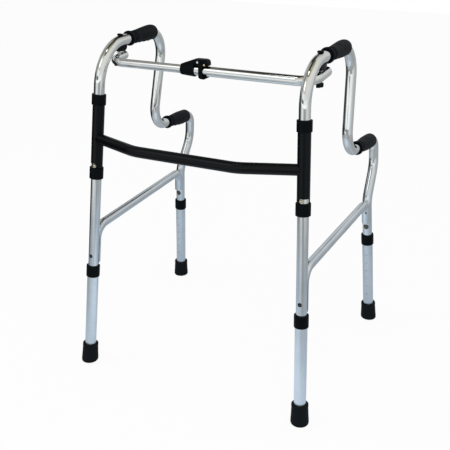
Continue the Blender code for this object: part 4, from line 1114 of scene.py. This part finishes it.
# White world, dimmer as a light than as seen.
def makeWorld():
    world = bpy.data.worlds.new("studio")
    bpy.context.scene.world = world
    world.use_nodes = True
    tree = world.node_tree
    tree.nodes.clear()
    lit = node(tree, "Background", {"Strength": studio["worldForLight"]})
    seen = node(tree, "Background", {"Color": (1.0, 1.0, 1.0, 1.0)})
    node(tree, "OutputWorld", {"Surface": whiteWhenSeen(tree, lit, seen, 0.0)})


# Direction on the floor from the object towards the camera, and the one to the picture's right.
def facing():
    bearing = studio["bearing"]
    return np.array([math.sin(bearing), -math.cos(bearing)]), np.array([math.cos(bearing), math.sin(bearing)])


# Studio card, seen only as a reflection: a band round the object between two distances and two heights,
# whose colour goes from one key angle to the next. Angles run to the right from the camera's direction.
def makeCard(name, near, far, low, high, tint, strength, keys):
    first, last = min(keys), max(keys)
    angle = np.linspace(first, last, 2 + int((last - first) / 2))
    tone = np.interp(angle, list(keys), list(keys.values()))[:, None] * np.array(tint)
    turn, count = np.radians(angle)[:, None], len(angle)
    towards, right = facing()
    flat = np.cos(turn) * towards + np.sin(turn) * right
    grid = [np.concatenate([flat * r, np.full((count, 1), z - studio["cardDrop"])], -1)
            for r, z in ((near, low), (far, high))]
    rows = np.arange(count - 1)
    mesh = bpy.data.meshes.new(name)
    mesh.from_pydata(np.concatenate(grid), [], np.stack([rows, rows + 1, rows + 1 + count, rows + count], -1))
    both = np.concatenate([np.tile(tone, (2, 1)), np.ones((2 * count, 1))], -1)
    layer = mesh.color_attributes.new("tone", "FLOAT_COLOR", "POINT")
    layer.data.foreach_set("color", both.astype(np.float32).ravel())
    card = linked(name, mesh)
    made, tree = bareMaterial(name)
    given = node(tree, "Attribute", attribute_name="tone").outputs["Color"]
    glow = node(tree, "Emission", {"Color": given, "Strength": strength})
    node(tree, "OutputMaterial", {"Surface": glow.outputs[0]})
    mesh.materials.append(made)
    card.visible_camera = card.visible_diffuse = card.visible_shadow = card.visible_transmission = False


# Turns and places a lamp or the camera: its right, its up and away from what it looks at.
def placed(made, right, away, spot):
    rows = np.eye(4)
    rows[:3, 0], rows[:3, 1], rows[:3, 2], rows[:3, 3] = right, np.cross(away, right), away, spot
    made.matrix_world = Matrix(rows.tolist())


# Square soft lamp that looks at a point and isn't mirrored.
def makeLamp(name, spot, aim, size, watts):
    lamp = bpy.data.lights.new(name, "AREA")
    lamp.shape, lamp.size, lamp.energy = "SQUARE", size, watts
    made = linked(name, lamp)
    away = unit(np.array(spot, float) - np.array(aim, float))
    placed(made, unit(np.cross(zAxis, away)), away, spot)
    made.visible_glossy = False


# Camera that looks down by the rise along the bearing.
def makeCamera():
    (towards, right), rise = facing(), studio["rise"]
    data = bpy.data.cameras.new("photoView")
    data.sensor_width = studio["sensor"]
    data.lens = studio["sensor"] * studio["focalPixels"] / studio["pictureWidth"]
    data.clip_start, data.clip_end = studio["nearest"], studio["farthest"]
    camera = linked("photoView", data)
    placed(camera, (*right, 0.0), (*(towards * math.cos(rise)), math.sin(rise)), studio["camera"])
    bpy.context.scene.camera = camera


makeFloor()
makeWorld()
# The studio as polished tubes show it: grey values from key angle to key angle, round the floor, up the
# walls of the sweep and over the ceiling, with the dark side of the room to the left.
cool, neutral, warm, olive = (0.88, 1.0, 1.10), (0.96, 1.0, 1.01), (1.02, 1.0, 0.94), (1.05, 1.0, 0.72)
cards = {  # distances and heights of the two edges, tint, strength, and the grey at each angle
    "nearFloor": (0.0, 0.75, 0, 0, cool, 1.0, {
        -180: .46, -70: .58, -20: .76, 5: .78, 28: .66, 60: .50, 180: .44}),
    "midFloor": (0.75, 1.15, 0, 0, cool, 1.0, {-180: .33, -70: .40, -30: .56, 0: .50, 60: .44, 180: .34}),
    "sweepFloor": (1.15, 2.1, 0, 0, neutral, 1.0, {
        -180: .38, -168: .38, -155: .02, -95: .02, -82: .34, -50: .42, -30: .62, -14: .72, -3: .40, 13: .33,
        47: .44, 75: .38, 180: .38}),
    "farFloor": (2.1, 2.9, 0, 0, neutral, 1.0, {
        -180: .42, -168: .42, -155: .02, -95: .02, -80: .40, -42: .90, -12: .40, 8: .30, 30: .55, 90: .40,
        180: .42}),
    "lowWall": (2.9, 2.9, 0, 0.80, neutral, 1.0, {
        -180: .44, -168: .44, -155: .02, -90: .03, -76: .35, -60: .75, -46: .95, -28: .60, -12: .36, 4: .33,
        18: .62, 36: .76, 60: .58, 85: .46, 180: .44}),
    "middleWall": (2.9, 2.9, 0.80, 1.12, neutral, 1.0, {
        -180: .58, -168: .58, -155: .03, -92: .04, -80: .45, -68: .80, -56: 1.12, 14: 1.08, 34: .80,
        54: .56, 80: .48, 180: .58}),
    "highWall": (2.9, 2.9, 1.12, 1.52, neutral, 1.0, {
        -180: .60, -112: .60, -98: .06, -84: .40, -68: .40, -62: .12, -38: .12, -28: .95, 14: .95, 34: .80,
        60: .72, 180: .62}),
    "topWall": (2.9, 2.9, 1.52, 2.3, neutral, 1.0, {
        -180: .50, -112: .50, -98: .06, -84: .50, -70: .95, -40: .95, -10: .80, 60: .72, 180: .62}),
    "overhead": (0.0, 0.95, 2.6, 2.6, olive, 1.0, {
        -180: .03, -112: .04, -60: .10, -20: .18, 10: .38, 60: .46, 100: .30, 180: .04}),
    "ceiling": (0.95, 2.9, 2.6, 2.3, warm, 1.0, {
        -190: .03, -164: .03, -150: .34, -118: .36, -106: .08, -96: .35, -72: .50, -40: .62, 0: .78,
        60: .78, 120: .70, 150: .40, 166: .03, 170: .02}),
    "lampOverhead": (0.44, 0.68, 2.55, 2.55, neutral, 3.0, {-82: 1, -42: 1}),
    "softBox": (1.35, 2.35, 2.45, 2.25, neutral, 1.6, {-72: 1, -42: 1}),
}
for name, card in cards.items():
    makeCard(name, *card)
makeLamp("softFront", (1.2, -2.4, 2.2), (0.0, 0.0, 0.4), 1.6, 22.0)
makeLamp("softLeft", (-2.2, -1.0, 2.0), (0.0, 0.0, 0.4), 1.4, 10.0)
makeCamera()
bpy.context.scene.view_settings.view_transform = "Standard"
print("studio made")
